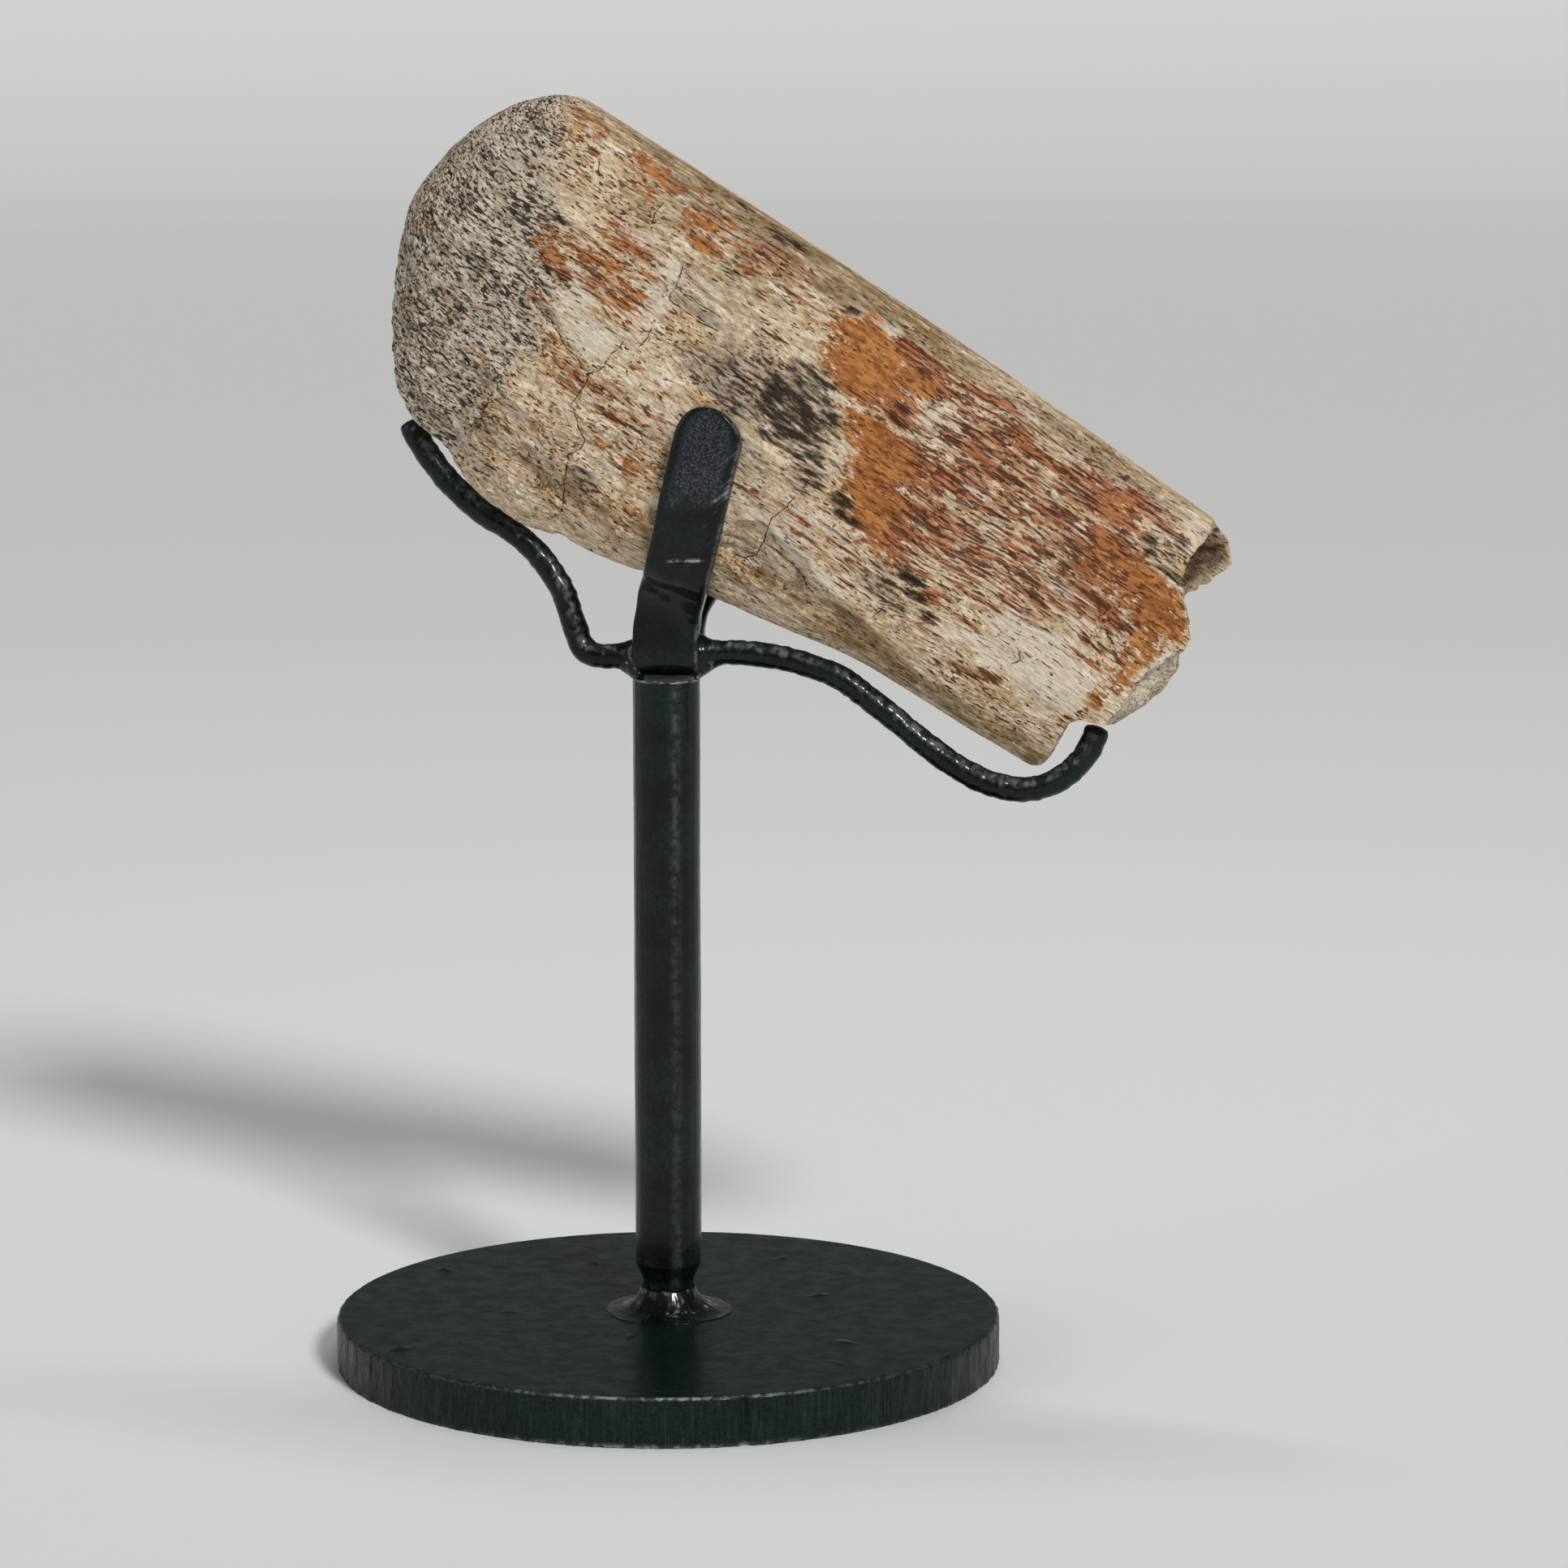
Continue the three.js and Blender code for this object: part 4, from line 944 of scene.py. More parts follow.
def build_foot_weld(look):
    """The fillet at the post's foot: a ring with a hollow face, crossed by the scallops of the
    bead and by lumps; the scallops are cosines of the turn whose phase wanders."""
    inner = POST_FOOT_RADIUS + 0.15
    floor = PLATE_TOP
    share = np.linspace(1, 0.02, 26)
    rise = floor + FOOT_WELD_LIP + (FOOT_WELD_HEIGHT - FOOT_WELD_LIP) * (1 - share) ** FOOT_WELD_HOLLOW
    face = stacked(inner + (FOOT_WELD_RADIUS - inner) * share, rise)
    profile = np.vstack([
        [(inner, floor), (inner + 3, floor), (FOOT_WELD_RADIUS + 0.1, floor)], face,
        [(inner, floor + FOOT_WELD_HEIGHT), (inner, floor + 3.2), (inner, floor + 1.6)],
    ])
    grid = turned_grid(profile, FOOT_WELD_COLUMNS)
    turn, radius, height = round_the_post(grid)
    ring = stacked(np.cos(turn), np.sin(turn), height / 9)
    bead = np.cos(FOOT_WELD_SCALLOPS * turn + 2.6 * value_noise(ring * 3, 221) + 0.5 * height)
    lumps = layered_noise(grid / 3.1, 222)
    above = np.clip((height - floor) / 1.4, 0, 1)
    middle = np.clip((radius - inner) / 2, 0, 1)
    swell = look.weld_lumps * middle * (0.07 * bead + 0.35 * lumps) * above
    spread = look.weld_lumps * middle * 0.5 * value_noise(ring * 3.4, 223)
    push_out(grid, turn, spread + 0.5 * swell)
    grid[..., 2] += swell
    return grid, None, {"worn_and_highlit": worn_and_glint_specks(grid, 224) * above}


strap_lean = smooth_curve(STRAP_LEAN)
strap_dip = smooth_curve(STRAP_DIP)


def leg_contact(z, front):
    """Distance from the rib's middle plane to a strap leg's middle line at height z: the rib's
    greatest thickness under three points of the strap's width, a clearance, half the strap."""
    depths = []
    for share in (-0.5, 0, 0.5):
        dx = strap_lean(z) + share * STRAP_WIDTH * math.cos(strap_dip(z)) - RIB_MIDDLE[0]
        dz = z - share * STRAP_WIDTH * math.sin(strap_dip(z)) - RIB_MIDDLE[1]
        s = dx * math.cos(RIB_SLOPE) - dz * math.sin(RIB_SLOPE)
        t = dx * math.sin(RIB_SLOPE) + dz * math.cos(RIB_SLOPE)
        depths.append(float(rib_thickness(s, t, front)))
    return max(depths) + CLEARANCE + STRAP_THICKNESS / 2


def leg_line(front, count):
    """A leg's middle line from the bottom of the fold: a quarter circle, a straight part, a flare
    and then the rib's own face."""
    angles = np.radians([0, 30, 60, 90])
    line = [(FOLD_RADIUS * math.sin(a), FOLD_CENTRE - FOLD_RADIUS * math.cos(a)) for a in angles]
    line += [(FOLD_RADIUS + outwards, z) for outwards, z in LEG_PART + LEG_FLARE]
    line += [(leg_contact(z, front), z) for z in LEG_CONTACTS]
    side = -1 if front else 1
    return smooth_path([(0, side * outwards, z) for outwards, z in line], count)


def flat_bar_section(columns):
    """A rounded rectangle's outline as three whole-turn rows: the share of the straight width,
    the share of the straight thickness, and the angle round the corner, evenly spaced."""
    wide, thick = STRAP_WIDTH / 2 - STRAP_CORNER, STRAP_THICKNESS / 2 - STRAP_CORNER
    quarter = math.pi / 2 * STRAP_CORNER
    lengths = np.array([0, quarter, 2 * wide, quarter, 2 * thick, quarter, 2 * wide, quarter, 2 * thick])
    knots = np.cumsum(lengths)
    at = np.arange(columns) / columns * knots[-1]
    angle = np.interp(at, knots, np.radians([0, 90, 90, 180, 180, 270, 270, 360, 360]))
    across = np.interp(at, knots, [1, 1, -1, -1, -1, -1, 1, 1, 1])
    through = np.interp(at, knots, [1, 1, 1, 1, -1, -1, -1, -1, 1])
    return across, through, angle


# A raised crease across the front leg: its height, and where across it starts and ends.
CREASE = (155.8, (-2.6, -1.2), (-4.7, -3.6))
STRAP_STEP = 0.26
STRAP_COLUMNS = 104


def strap_line():
    """The strap's middle line from the back leg's tip round the fold to the front leg's tip, with
    its tangents, half width and loss of thickness. The tips are round in plan: half the width at
    d from the tip is sqrt(r^2 - (r - d)^2)."""
    legs = []
    radius = STRAP_WIDTH / 2
    for front in (False, True):
        line = leg_line(front, 2400)
        length = np.linalg.norm(np.diff(line, axis=0), axis=1).sum()
        tip = 0.02 + 6 * np.linspace(0, 1, 34) ** 1.6
        from_tip = np.concatenate([tip, np.arange(6.3, length, STRAP_STEP)])
        place = np.linspace(0, length, len(line))
        at = length - from_tip
        centre, ahead, behind = (point_at(at + shift, place, line) for shift in (0, 0.2, -0.2))
        tangent = (ahead - behind) * (1 if front else -1)
        half = np.sqrt(np.maximum(radius ** 2 - np.maximum(radius - from_tip, 0) ** 2, 0.09))
        edge = np.maximum(STRAP_CORNER - from_tip, 0)
        thinner = STRAP_CORNER - np.sqrt(np.maximum(STRAP_CORNER ** 2 - edge ** 2, 0))
        legs.append((centre, tangent, half, thinner))
    back, forth = legs
    return (np.concatenate([a, b[::-1]]) for a, b in zip(back, forth))


def strap_relief(look, grid, a, half, out_of_middle):
    """How far the strap's faces stand out at a across it, and the fields of its paint: wrinkles over the
    upper part of both outer faces, inside a smooth rim, slanting nicks down the front leg's right edge, and
    a raised crease. Its pale mask paints highlights on the right rim, the crease and the nicks."""
    height = grid[..., 2]
    outer_face = smooth_step(out_of_middle, 0.6, 1.3)
    from_edge = half[:, None] - np.abs(a)
    fading = 2.2 * value_noise(grid / 2.5, 233)
    # The wrinkled mask also scales the painted sheen, which fades in towards the top and towards the middle
    # of the face.
    wrinkled = smooth_step(height + fading, 163, 170) * outer_face * smooth_step(from_edge, 1.1, 2.8)
    wrinkle = layered_noise(grid / (0.8, 0.8, 1.1), 231, 3, 0.6)
    dents = value_noise(grid / (5, 5, 6), 232)
    right = smooth_step(a, 2.6, 4.6) * outer_face
    right = right * smooth_step(height, 158, 161) * smooth_step(-height, -178, -171)
    nicks = np.maximum(value_noise((height - 1.3 * a)[..., None] * (1.6, 0, 0) + grid / 3, 234) - 0.5, 0)
    crease = np.exp(-((height - CREASE[0] - 0.04 * a) / 0.27) ** 2) * outer_face
    crease = crease * smooth_step(a, *CREASE[1]) * smooth_step(-a, *CREASE[2]) * (grid[..., 1] < 0)
    change = wrinkled * (look.wrinkles * wrinkle - 0.1) + look.hammering * (0.22 * dents - 0.1)
    change = change - 0.5 * right * nicks + 0.34 * crease
    # Pale marks, painted highlights: along the right rim, on the crease, and on the nicks, which are partly
    # chipped paint and partly painted glints.
    rim = smooth_step(from_edge, 0.75, 0.15) * smooth_step(a, 1.5, 4.5) * outer_face
    return change, {"wrinkled": wrinkled, "worn_and_highlit": 0.35 * rim + 1.3 * crease + 1.6 * right * nicks}


def build_strap(look):
    """The folded strap: a rounded flat bar carried along its middle line."""
    centre, tangent, half, thinner = strap_line()
    centre[:, 0] = strap_lean(centre[:, 2])
    dip = strap_dip(centre[:, 2])
    sideways = stacked(np.cos(dip), 0 * dip, -np.sin(dip))
    out = np.cross(sideways, tangent)
    out /= np.linalg.norm(out, axis=1, keepdims=True)
    across, through, angle = flat_bar_section(STRAP_COLUMNS)
    corner = np.minimum(STRAP_CORNER, half * 0.9)[:, None]
    a = across * (half[:, None] - corner) + corner * np.cos(angle)
    thick = STRAP_THICKNESS / 2 - thinner[:, None]
    b = through * (STRAP_THICKNESS / 2 - STRAP_CORNER) + STRAP_CORNER * np.sin(angle)
    b = b * thick / (STRAP_THICKNESS / 2)
    grid = centre[:, None] + a[..., None] * sideways[:, None] + b[..., None] * out[:, None]
    normal = surface_normals(grid)
    outside = np.sign(np.einsum("ijk,ijk->", normal, grid - centre[:, None]))
    out_of_middle = np.abs(grid[..., 1]) - np.abs(centre[:, None, 1])
    change, fields = strap_relief(look, grid, a, half, out_of_middle)
    grid = grid + outside * normal * change[..., None]
    return grid, end_middles(grid), fields


def bar_frames(line):
    """Two directions square to a path in or near the XZ plane, and to each other."""
    tangent = np.gradient(line, axis=0)
    tangent /= np.linalg.norm(tangent, axis=1, keepdims=True)
    out = np.cross(tangent, [0.0, 1.0, 0.0])
    out /= np.linalg.norm(out, axis=1, keepdims=True)
    return np.cross(out, tangent), out


# The side of the arms along which a painted highlight runs in worn-looking patches, as a direction.
ARM_HIGHLIGHT_SIDE = (0.1, -0.7, 0.7)
ARM_STEP = 0.34
ARM_COLUMNS = 44
ARM_TIP_LENGTH = 1.1
ARM_WELD_COLUMNS = 72
ARM_WELD_LENGTH = 4.2
ARM_WELD_TOE = 2.15
ARM_WELD_SWELL = 2.2
ARM_WELD_SAG = 2.6
ARM_WELD_ROUNDED = 0.34


def build_arm(look, path, seed):
    """A hand-bent round bar: a circle carried along a path, flattened a little by hammer blows.
    The blows are noise that is short along the bar, so that they cross it as shallow facets."""
    steps = int(np.linalg.norm(np.diff(path, axis=0), axis=1).sum() / ARM_STEP)
    line = smooth_path(path, steps)
    side, out = bar_frames(line)
    turn = 2 * np.pi * np.arange(ARM_COLUMNS) / ARM_COLUMNS
    place = np.arange(steps)[:, None] * ARM_STEP
    ring = stacked(np.cos(turn), np.sin(turn), place)
    facets = value_noise(ring / (0.9, 0.9, 1.2), seed)
    bends = value_noise(ring / (2.5, 2.5, 7), seed + 1)
    ribs = value_noise(ring / (2.2, 2.2, 0.75), seed + 2)
    reach = ARM_RADIUS + look.hammering * (0.2 * facets + 0.16 * bends + 0.16 * ribs) - 0.04
    to_tip = (steps - 1 - np.arange(steps))[:, None] * ARM_STEP
    rounding = np.sqrt(np.clip(1 - (1 - to_tip / ARM_TIP_LENGTH) ** 2, 0, 1))
    reach = reach * np.where(to_tip < ARM_TIP_LENGTH, 0.35 + 0.65 * rounding, 1)
    offset = np.cos(turn)[:, None] * side[:, None] + np.sin(turn)[:, None] * out[:, None]
    grid = line[:, None] + reach[..., None] * offset
    # A pale line along the side facing that direction, as strong on every ring: a painted highlight.
    facing = offset @ np.array(ARM_HIGHLIGHT_SIDE)
    facing = facing / facing.max(axis=1, keepdims=True)
    worn_and_highlit = smooth_step(facing + 0.12 * ribs, 0.84, 1.04) * (0.32 + 0.25 * facets)
    return grid, end_middles(grid), {"worn_and_highlit": worn_and_highlit}


def build_arm_weld(look, path, outwards, reach_in, seed):
    """The weld at an arm's root: a lumpy collar that swells down and in towards the post's top.
    Its radius falls from the root to the toe, grows below the arm by a cosine of the turn, and
    closes as a quarter circle at the inner end."""
    root = np.asarray(path[0], float)
    share = np.concatenate([[0.0, 0.0], np.linspace(0, 1, 34), [1.0]])
    place = -reach_in + (ARM_WELD_LENGTH + reach_in) * share
    slim = (1 - share) ** 1.5
    radius = ARM_WELD_TOE + ARM_WELD_SWELL * slim
    rounding = np.sqrt(1 - (1 - np.clip(share / ARM_WELD_ROUNDED, 0, 1)) ** 2)
    radius[-1] = 1.2
    turn = 2 * np.pi * np.arange(ARM_WELD_COLUMNS) / ARM_WELD_COLUMNS
    x = root[0] + outwards * place[:, None] + 0 * turn
    ring = stacked(x / 2.2 + seed, np.cos(turn) * 1.2 + 0 * x, np.sin(turn) * 1.2 + 0 * x)
    below = np.maximum(-np.sin(turn), 0) ** 1.6
    sag = below * slim[:, None] * ARM_WELD_SAG
    ripples = np.cos(4.2 * place[:, None] + 1.5 * np.sin(turn) + 1.2 * value_noise(ring * 1.5, seed + 1))
    lumps = look.weld_lumps * (0.6 * layered_noise(ring, seed, 2) + 0.1 * ripples)
    reach = (radius[:, None] + sag + lumps * (0.15 + 0.85 * slim[:, None])) * rounding[:, None]
    y = root[1] + reach * np.cos(turn) * 0.92
    z = root[2] + reach * np.sin(turn)
    grid = stacked(x, y, z)
    return grid, end_middles(grid), {"worn_and_highlit": worn_and_glint_specks(grid, seed + 2)}


# ------------------------------------------------------------------ materials

PER_MILLIMETRE = (1 / MM, 1 / MM, 1 / MM)
FLECK_SOFTNESS = 0.018
PATTERN_SHIFT = 37.0
GRAIN_BENDS = -60.0


class Shading:
    """Adds and joins the nodes of one tree. An input may be a number, a colour or a socket."""

    def __init__(self, tree):
        self.tree = tree

    def add(self, kind, inputs=(), **settings):
        node = self.tree.nodes.new("ShaderNode" + kind)
        for name, value in settings.items():
            setattr(node, name, value)
        return self.feed(node, inputs)

    def feed(self, node, inputs):
        """Links each socket, and sets each number or colour, to the input of its key."""
        for key, value in dict(inputs).items():
            if isinstance(value, bpy.types.NodeSocket):
                self.tree.links.new(value, node.inputs[key])
            else:
                node.inputs[key].default_value = value
        return node

    def math(self, operation, a, b=0.5, c=0.0):
        return self.add("Math", {0: a, 1: b, 2: c}, operation=operation).outputs[0]

    def times(self, a, b):
        return self.math("MULTIPLY", a, b)

    def plus(self, a, b):
        return self.math("ADD", a, b)

    def minus(self, a, b):
        return self.math("SUBTRACT", a, b)

    def larger(self, a, b):
        return self.math("MAXIMUM", a, b)

    def step(self, value, low, high, to_low=0.0, to_high=1.0):
        inputs = {"Value": value, "From Min": low, "From Max": high, "To Min": to_low, "To Max": to_high}
        return self.add("MapRange", inputs, interpolation_type="SMOOTHSTEP").outputs[0]

    def mix(self, share, a, b, blend="MIX"):
        """Mixes two colours, each a socket or three numbers."""
        a, b = (c if isinstance(c, bpy.types.NodeSocket) else rgba(c) for c in (a, b))
        node = self.add("Mix", {0: share, 6: a, 7: b}, data_type="RGBA", blend_type=blend)
        return node.outputs[2]

    def stretch(self, vector, scale, shift=(0, 0, 0)):
        inputs = {0: vector, 1: scale, 2: shift}
        return self.add("VectorMath", inputs, operation="MULTIPLY_ADD").outputs[0]

    def noise(self, vector, scale=1.0, detail=2.0, roughness=0.5):
        inputs = {"Vector": vector, "Scale": scale, "Detail": detail, "Roughness": roughness}
        return self.add("TexNoise", inputs).outputs[0]

    def field(self, name):
        return self.add("Attribute", attribute_name=name).outputs["Fac"]

    def group(self, tree, inputs=()):
        return self.add("Group", inputs, node_tree=tree)


def new_group(name, inputs, outputs):
    """A shader node group with named float, colour or vector sockets, and its inner end nodes."""
    tree = bpy.data.node_groups.new(name, "ShaderNodeTree")
    for sockets, direction in ((inputs, "INPUT"), (outputs, "OUTPUT")):
        for socket_name, kind in sockets.items():
            tree.interface.new_socket(socket_name, in_out=direction, socket_type="NodeSocket" + kind)
    return Shading(tree), tree.nodes.new("NodeGroupInput"), tree.nodes.new("NodeGroupOutput")


def rgba(colour):
    return (*colour, 1.0)


def grain_group():
    """The rib's own s, depth and t in millimetres, from Object coordinates turned by its slope
    about its middle. t is bent by slow waves, and by (s - GRAIN_BENDS)^2 at the left end, so
    that lines drawn along s run as the fibres do."""
    g, _, end = new_group("Rib directions", {}, {"Place": "Vector"})
    coordinates = g.add("TexCoord").outputs["Object"]
    middle_s = RIB_MIDDLE[0] * math.cos(RIB_SLOPE) - RIB_MIDDLE[1] * math.sin(RIB_SLOPE)
    middle_t = RIB_MIDDLE[0] * math.sin(RIB_SLOPE) + RIB_MIDDLE[1] * math.cos(RIB_SLOPE)
    home = (-middle_s * MM, 0, -middle_t * MM)
    mapping = {"Vector": coordinates, "Location": home, "Rotation": (0, -RIB_SLOPE, 0)}
    turned = g.add("Mapping", mapping).outputs[0]
    place = g.stretch(turned, PER_MILLIMETRE)
    axes = g.add("SeparateXYZ", {0: place}).outputs
    past = g.math("MINIMUM", g.minus(axes[0], GRAIN_BENDS), 0.0)
    bend = g.times(g.times(past, past), -0.016)
    waves = g.times(g.minus(g.noise(place, 0.035, 1.0, 0.5), 0.5), 4.0)
    across = g.plus(axes[2], g.plus(bend, waves))
    bent = g.add("CombineXYZ", {0: axes[0], 1: axes[1], 2: across}).outputs[0]
    g.tree.links.new(bent, end.inputs["Place"])
    return g.tree


# Sockets of a pattern that is drawn out along the grain.
DRAWN_OUT = {"Place": "Vector", "Stretch": "Vector", "Shift": "Vector"}


def cover_group():
    """Turns a soft mask into ragged cover: noise stretched along the grain is spread about a
    half, the mask is added, and what passes 1 is covered, over the given softness."""
    sockets = {**DRAWN_OUT, "Mask": "Float", "Contrast": "Float", "Softness": "Float"}
    g, start, end = new_group("Ragged cover", sockets, {"Cover": "Float"})
    outputs = start.outputs
    noise = g.noise(g.stretch(outputs["Place"], outputs["Stretch"], outputs["Shift"]), 1.0, 3.0, 0.6)
    spread = g.times(g.minus(noise, 0.5), outputs["Contrast"])
    total = g.plus(g.plus(spread, 0.5), outputs["Mask"])
    low = g.minus(1.0, outputs["Softness"])
    high = g.plus(1.0, outputs["Softness"])
    present = g.step(outputs["Mask"], 0.02, 0.25)
    g.tree.links.new(g.times(g.step(total, low, high), present), end.inputs["Cover"])
    return g.tree


def flecks_group():
    """Crisp flecks along the grain: noise drawn out along the rib, with a density added, kept
    where the sum passes a level."""
    sockets = {**DRAWN_OUT, "Density": "Float", "Level": "Float"}
    g, start, end = new_group("Grain flecks", sockets, {"Flecks": "Float"})
    outputs = start.outputs
    noise = g.noise(g.stretch(outputs["Place"], outputs["Stretch"], outputs["Shift"]), 1.0, 1.0, 0.5)
    total = g.plus(noise, outputs["Density"])
    low = g.minus(outputs["Level"], FLECK_SOFTNESS)
    high = g.plus(outputs["Level"], FLECK_SOFTNESS)
    g.tree.links.new(g.step(total, low, high), end.inputs["Flecks"])
    return g.tree


def new_material(name):
    material = bpy.data.materials.new(name)
    material.use_nodes = True
    shader = material.node_tree.nodes["Principled BSDF"]
    return material, Shading(material.node_tree), shader


class BoneShading(Shading):
    """The rib's tree, with its place along the grain and its two patterns at hand. Waves are
    counted per millimetre, along and across the grain, and each pattern has a shift of its own."""

    def __init__(self, tree):
        super().__init__(tree)
        self.place = self.group(grain_group()).outputs["Place"]
        self.cover_tree = cover_group()
        self.flecks_tree = flecks_group()
        self.patterns = 0

    def shift(self):
        self.patterns += 1
        return (PATTERN_SHIFT * self.patterns, 0, 0)

    def drawn_out(self, along, across):
        return {"Place": self.place, "Stretch": (along, across, across), "Shift": self.shift()}

    def drift(self, along, across, detail=2.0, roughness=0.55):
        stretched = self.stretch(self.place, (along, across, across), self.shift())
        return self.noise(stretched, 1.0, detail, roughness)

    def cover(self, mask, along, across, contrast, softness):
        inputs = {**self.drawn_out(along, across), "Mask": mask, "Contrast": contrast, "Softness": softness}
        return self.group(self.cover_tree, inputs).outputs["Cover"]

    def flecks(self, along, across, level, density=0.0):
        inputs = {**self.drawn_out(along, across), "Density": density, "Level": level}
        return self.group(self.flecks_tree, inputs).outputs["Flecks"]

    def lay(self, under, cover, strength, colour):
        """A colour laid over another at a share of its cover."""
        return self.mix(self.times(cover, strength), under, colour)


def wall_colour(g, look, field):
    """The cream wall: soft blotches of tan, pale and yellow-brown, crisp pale specks, and ochre films near
    the margins, which also paint shade on them. Gives the colour, and the slow drifts in which flecks
    gather."""
    colour = g.mix(g.step(g.drift(0.09, 0.24, 3, 0.6), 0.42, 0.6), look.cream, look.tan)
    colour = g.lay(colour, g.step(g.drift(0.16, 0.4, 3, 0.62), 0.5, 0.66), 0.75, look.pale)
    gather = g.times(g.step(g.drift(0.07, 0.15), 0.36, 0.64, -1, 1), 0.06)
    warm = g.step(g.plus(g.drift(0.12, 0.26, 3, 0.65), gather), 0.5, 0.66)
    colour = g.lay(colour, warm, 0.38, look.fleck)
    stained = g.step(g.plus(g.drift(0.4, 1.1, 3, 0.66), gather), 0.56, 0.64)
    colour = g.lay(colour, stained, 0.6, look.fleck)
    colour = g.lay(colour, g.flecks(0.6, 1.9, 0.56), 0.45, look.pale)
    # Ochre films, which on the margins also paint shade.
    ochre_and_margin_shade = g.cover(field["ochre_and_margin_shade"], 0.15, 0.8, 1.8, 0.4)
    return g.lay(colour, ochre_and_margin_shade, 0.85, look.ochre_and_margin_shade), gather


def stained_colour(g, look, field, colour):
    """Bare places and scars, then the orange, red-brown and black stains, laid in turn. Gives
    the colour, and the covers that other layers ask for."""
    pale = g.cover(field["pale"], 0.3, 0.9, 1.5, 0.3)
    colour = g.lay(colour, pale, 0.85, look.bare)
    # Grey scars, and painted shade along the upper margin.
    colour = g.lay(colour, g.cover(field["grey"], 0.25, 0.7, 1.2, 0.3), 0.8, look.scar)
    whole = g.plus(field["orange"], g.step(field["orange"], 0.8, 1.0, 0.0, 0.4))
    orange = g.cover(whole, 0.55, 1.4, 3.6, 0.25)
    rust = g.mix(g.step(g.drift(0.3, 0.9, 3, 0.7), 0.4, 0.6), look.orange, look.orange_light)
    edge = g.times(g.minus(1.0, field["orange"]), 0.16)
    rust = g.lay(rust, g.flecks(0.5, 1.7, 0.67, edge), 0.85, look.red_brown)
    colour = g.lay(colour, g.larger(orange, g.times(field["red"], 0.2)), 0.96, rust)
    red = g.cover(g.math("MULTIPLY_ADD", field["red"], 1.15, -0.14), 0.09, 1.15, 4.2, 0.25)
    brown = g.mix(g.flecks(0.14, 1.5, 0.55), look.red_light, look.red_brown)
    colour = g.lay(colour, red, 0.92, brown)
    thin = g.flecks(0.42, 2.0, 0.67, g.times(field["red"], 0.15))
    colour = g.lay(colour, thin, 0.8, look.red_brown)
    dark = g.times(field["dark"], g.step(field["spongy"], 0, 1, 1, 0.4))
    dark = g.cover(dark, 0.24, 1.1, 3.2, 0.4)
    return g.lay(colour, dark, 0.94, look.stain), pale, orange, red


def dash_covers(g, field, gather, stained):
    """Dark dashes along the grain, few in the wall, in drifts, and crowded where it is gone, and
    the open cells of the broken face. stained is where they are kept few."""
    crowd = g.plus(g.times(field["spongy"], 0.1), g.times(field["dark"], 0.02))
    gather = g.times(gather, g.step(field["spongy"], 0, 1, 1, 0.4))
    density = g.plus(g.plus(gather, crowd), g.times(stained, -0.08))
    pitted = g.plus(density, g.times(field["pit"], 0.025))
    dashes = g.flecks(0.48, 1.65, 0.705, pitted)
    small = g.times(g.flecks(0.9, 2.6, 0.7, density), 0.9)
    cells = g.step(g.noise(g.place, 1.1, 2.0, 0.6), 0.55, 0.6)
    return g.larger(dashes, small), g.times(cells, g.times(field["broken"], 0.5))


def crack_cover(g, look, field):
    """Where the cracks are: the mesh's distance to a crack, against a width that wavers."""
    waver = g.step(g.noise(g.place, 0.9, 3.0, 0.6), 0.3, 0.7, 0.03, 0.14)
    width = g.times(waver, look.crack_width)
    inside = g.step(g.math("DIVIDE", g.math("ABSOLUTE", field["crack"]), width), 0.5, 1.4, 1.0, 0.0)
    return g.times(inside, g.step(field["crack_open"], 0.05, 0.6))


def bone_material(look):
    """Fossil bone: a mottled cream wall, spongy grey bone where that wall is gone, and the
    stains laid over them. All of it follows the grain or the fields that the mesh carries."""
    material, _, shader = new_material("Fossil bone")
    g = BoneShading(material.node_tree)
    names = (*STAINS, "spongy", "broken", "hollow", "pit", "crack", "crack_open")
    field = {name: g.field(name) for name in names}
    colour, gather = wall_colour(g, look, field)

    # spongy bone at the left end and in the broken face
    bare_end = g.cover(field["spongy"], 0.22, 0.8, 1.4, 0.4)
    open_bone = g.larger(bare_end, g.times(field["broken"], 0.6))
    shade = g.step(g.drift(0.14, 0.3, 3), 0.46, 0.64)
    spongy = g.mix(shade, look.spongy_light, look.spongy_dark)
    colour = g.lay(colour, open_bone, 0.7, spongy)
    colour, pale, orange, red = stained_colour(g, look, field, colour)
    # Painted shade, dark brown, deep in the broken end's hollow.
    inside = g.times(field["hollow"], g.step(g.noise(g.place, 0.5, 3.0, 0.6), 0.3, 0.6, 0.7, 1))
    colour = g.lay(colour, inside, 0.96, look.hollow)

    # fibres: every colour is lightened and darkened along the grain
    calm = g.larger(g.times(orange, 0.5), g.times(pale, 0.5))
    keep = g.minus(1.0, calm)
    fibre = g.drift(0.5, 1.7, 3, 0.65)
    light = (look.fibre_light,) * 3
    tone = g.mix(keep, (1, 1, 1), g.mix(g.step(fibre, 0.36, 0.66), light, look.fibre_shade))
    colour = g.mix(1.0, colour, tone, "MULTIPLY")

    fine, cells = dash_covers(g, field, gather, g.larger(orange, pale))
    dirt = g.mix(field["spongy"], look.line, look.pit)
    colour = g.lay(colour, g.larger(fine, cells), look.line_strength, dirt)
    crack = crack_cover(g, look, field)
    colour = g.lay(colour, crack, 0.92, look.crack)

    rough = g.step(g.larger(orange, g.times(pale, 0.6)), 0, 1, 0.88, 0.62)
    height = g.times(g.minus(1.0, fibre), 1.1)
    height = g.minus(height, g.times(fine, 0.8))
    height = g.minus(height, g.times(crack, 1.2))
    height = g.plus(height, g.times(red, 0.15))
    bump = g.add("Bump", {"Height": height, "Strength": 0.8, "Distance": look.bump_height})
    g.feed(shader, {"Base Color": colour, "Roughness": rough, "Normal": bump.outputs[0]})
    shader.inputs["Specular IOR Level"].default_value = 0.2
    return material


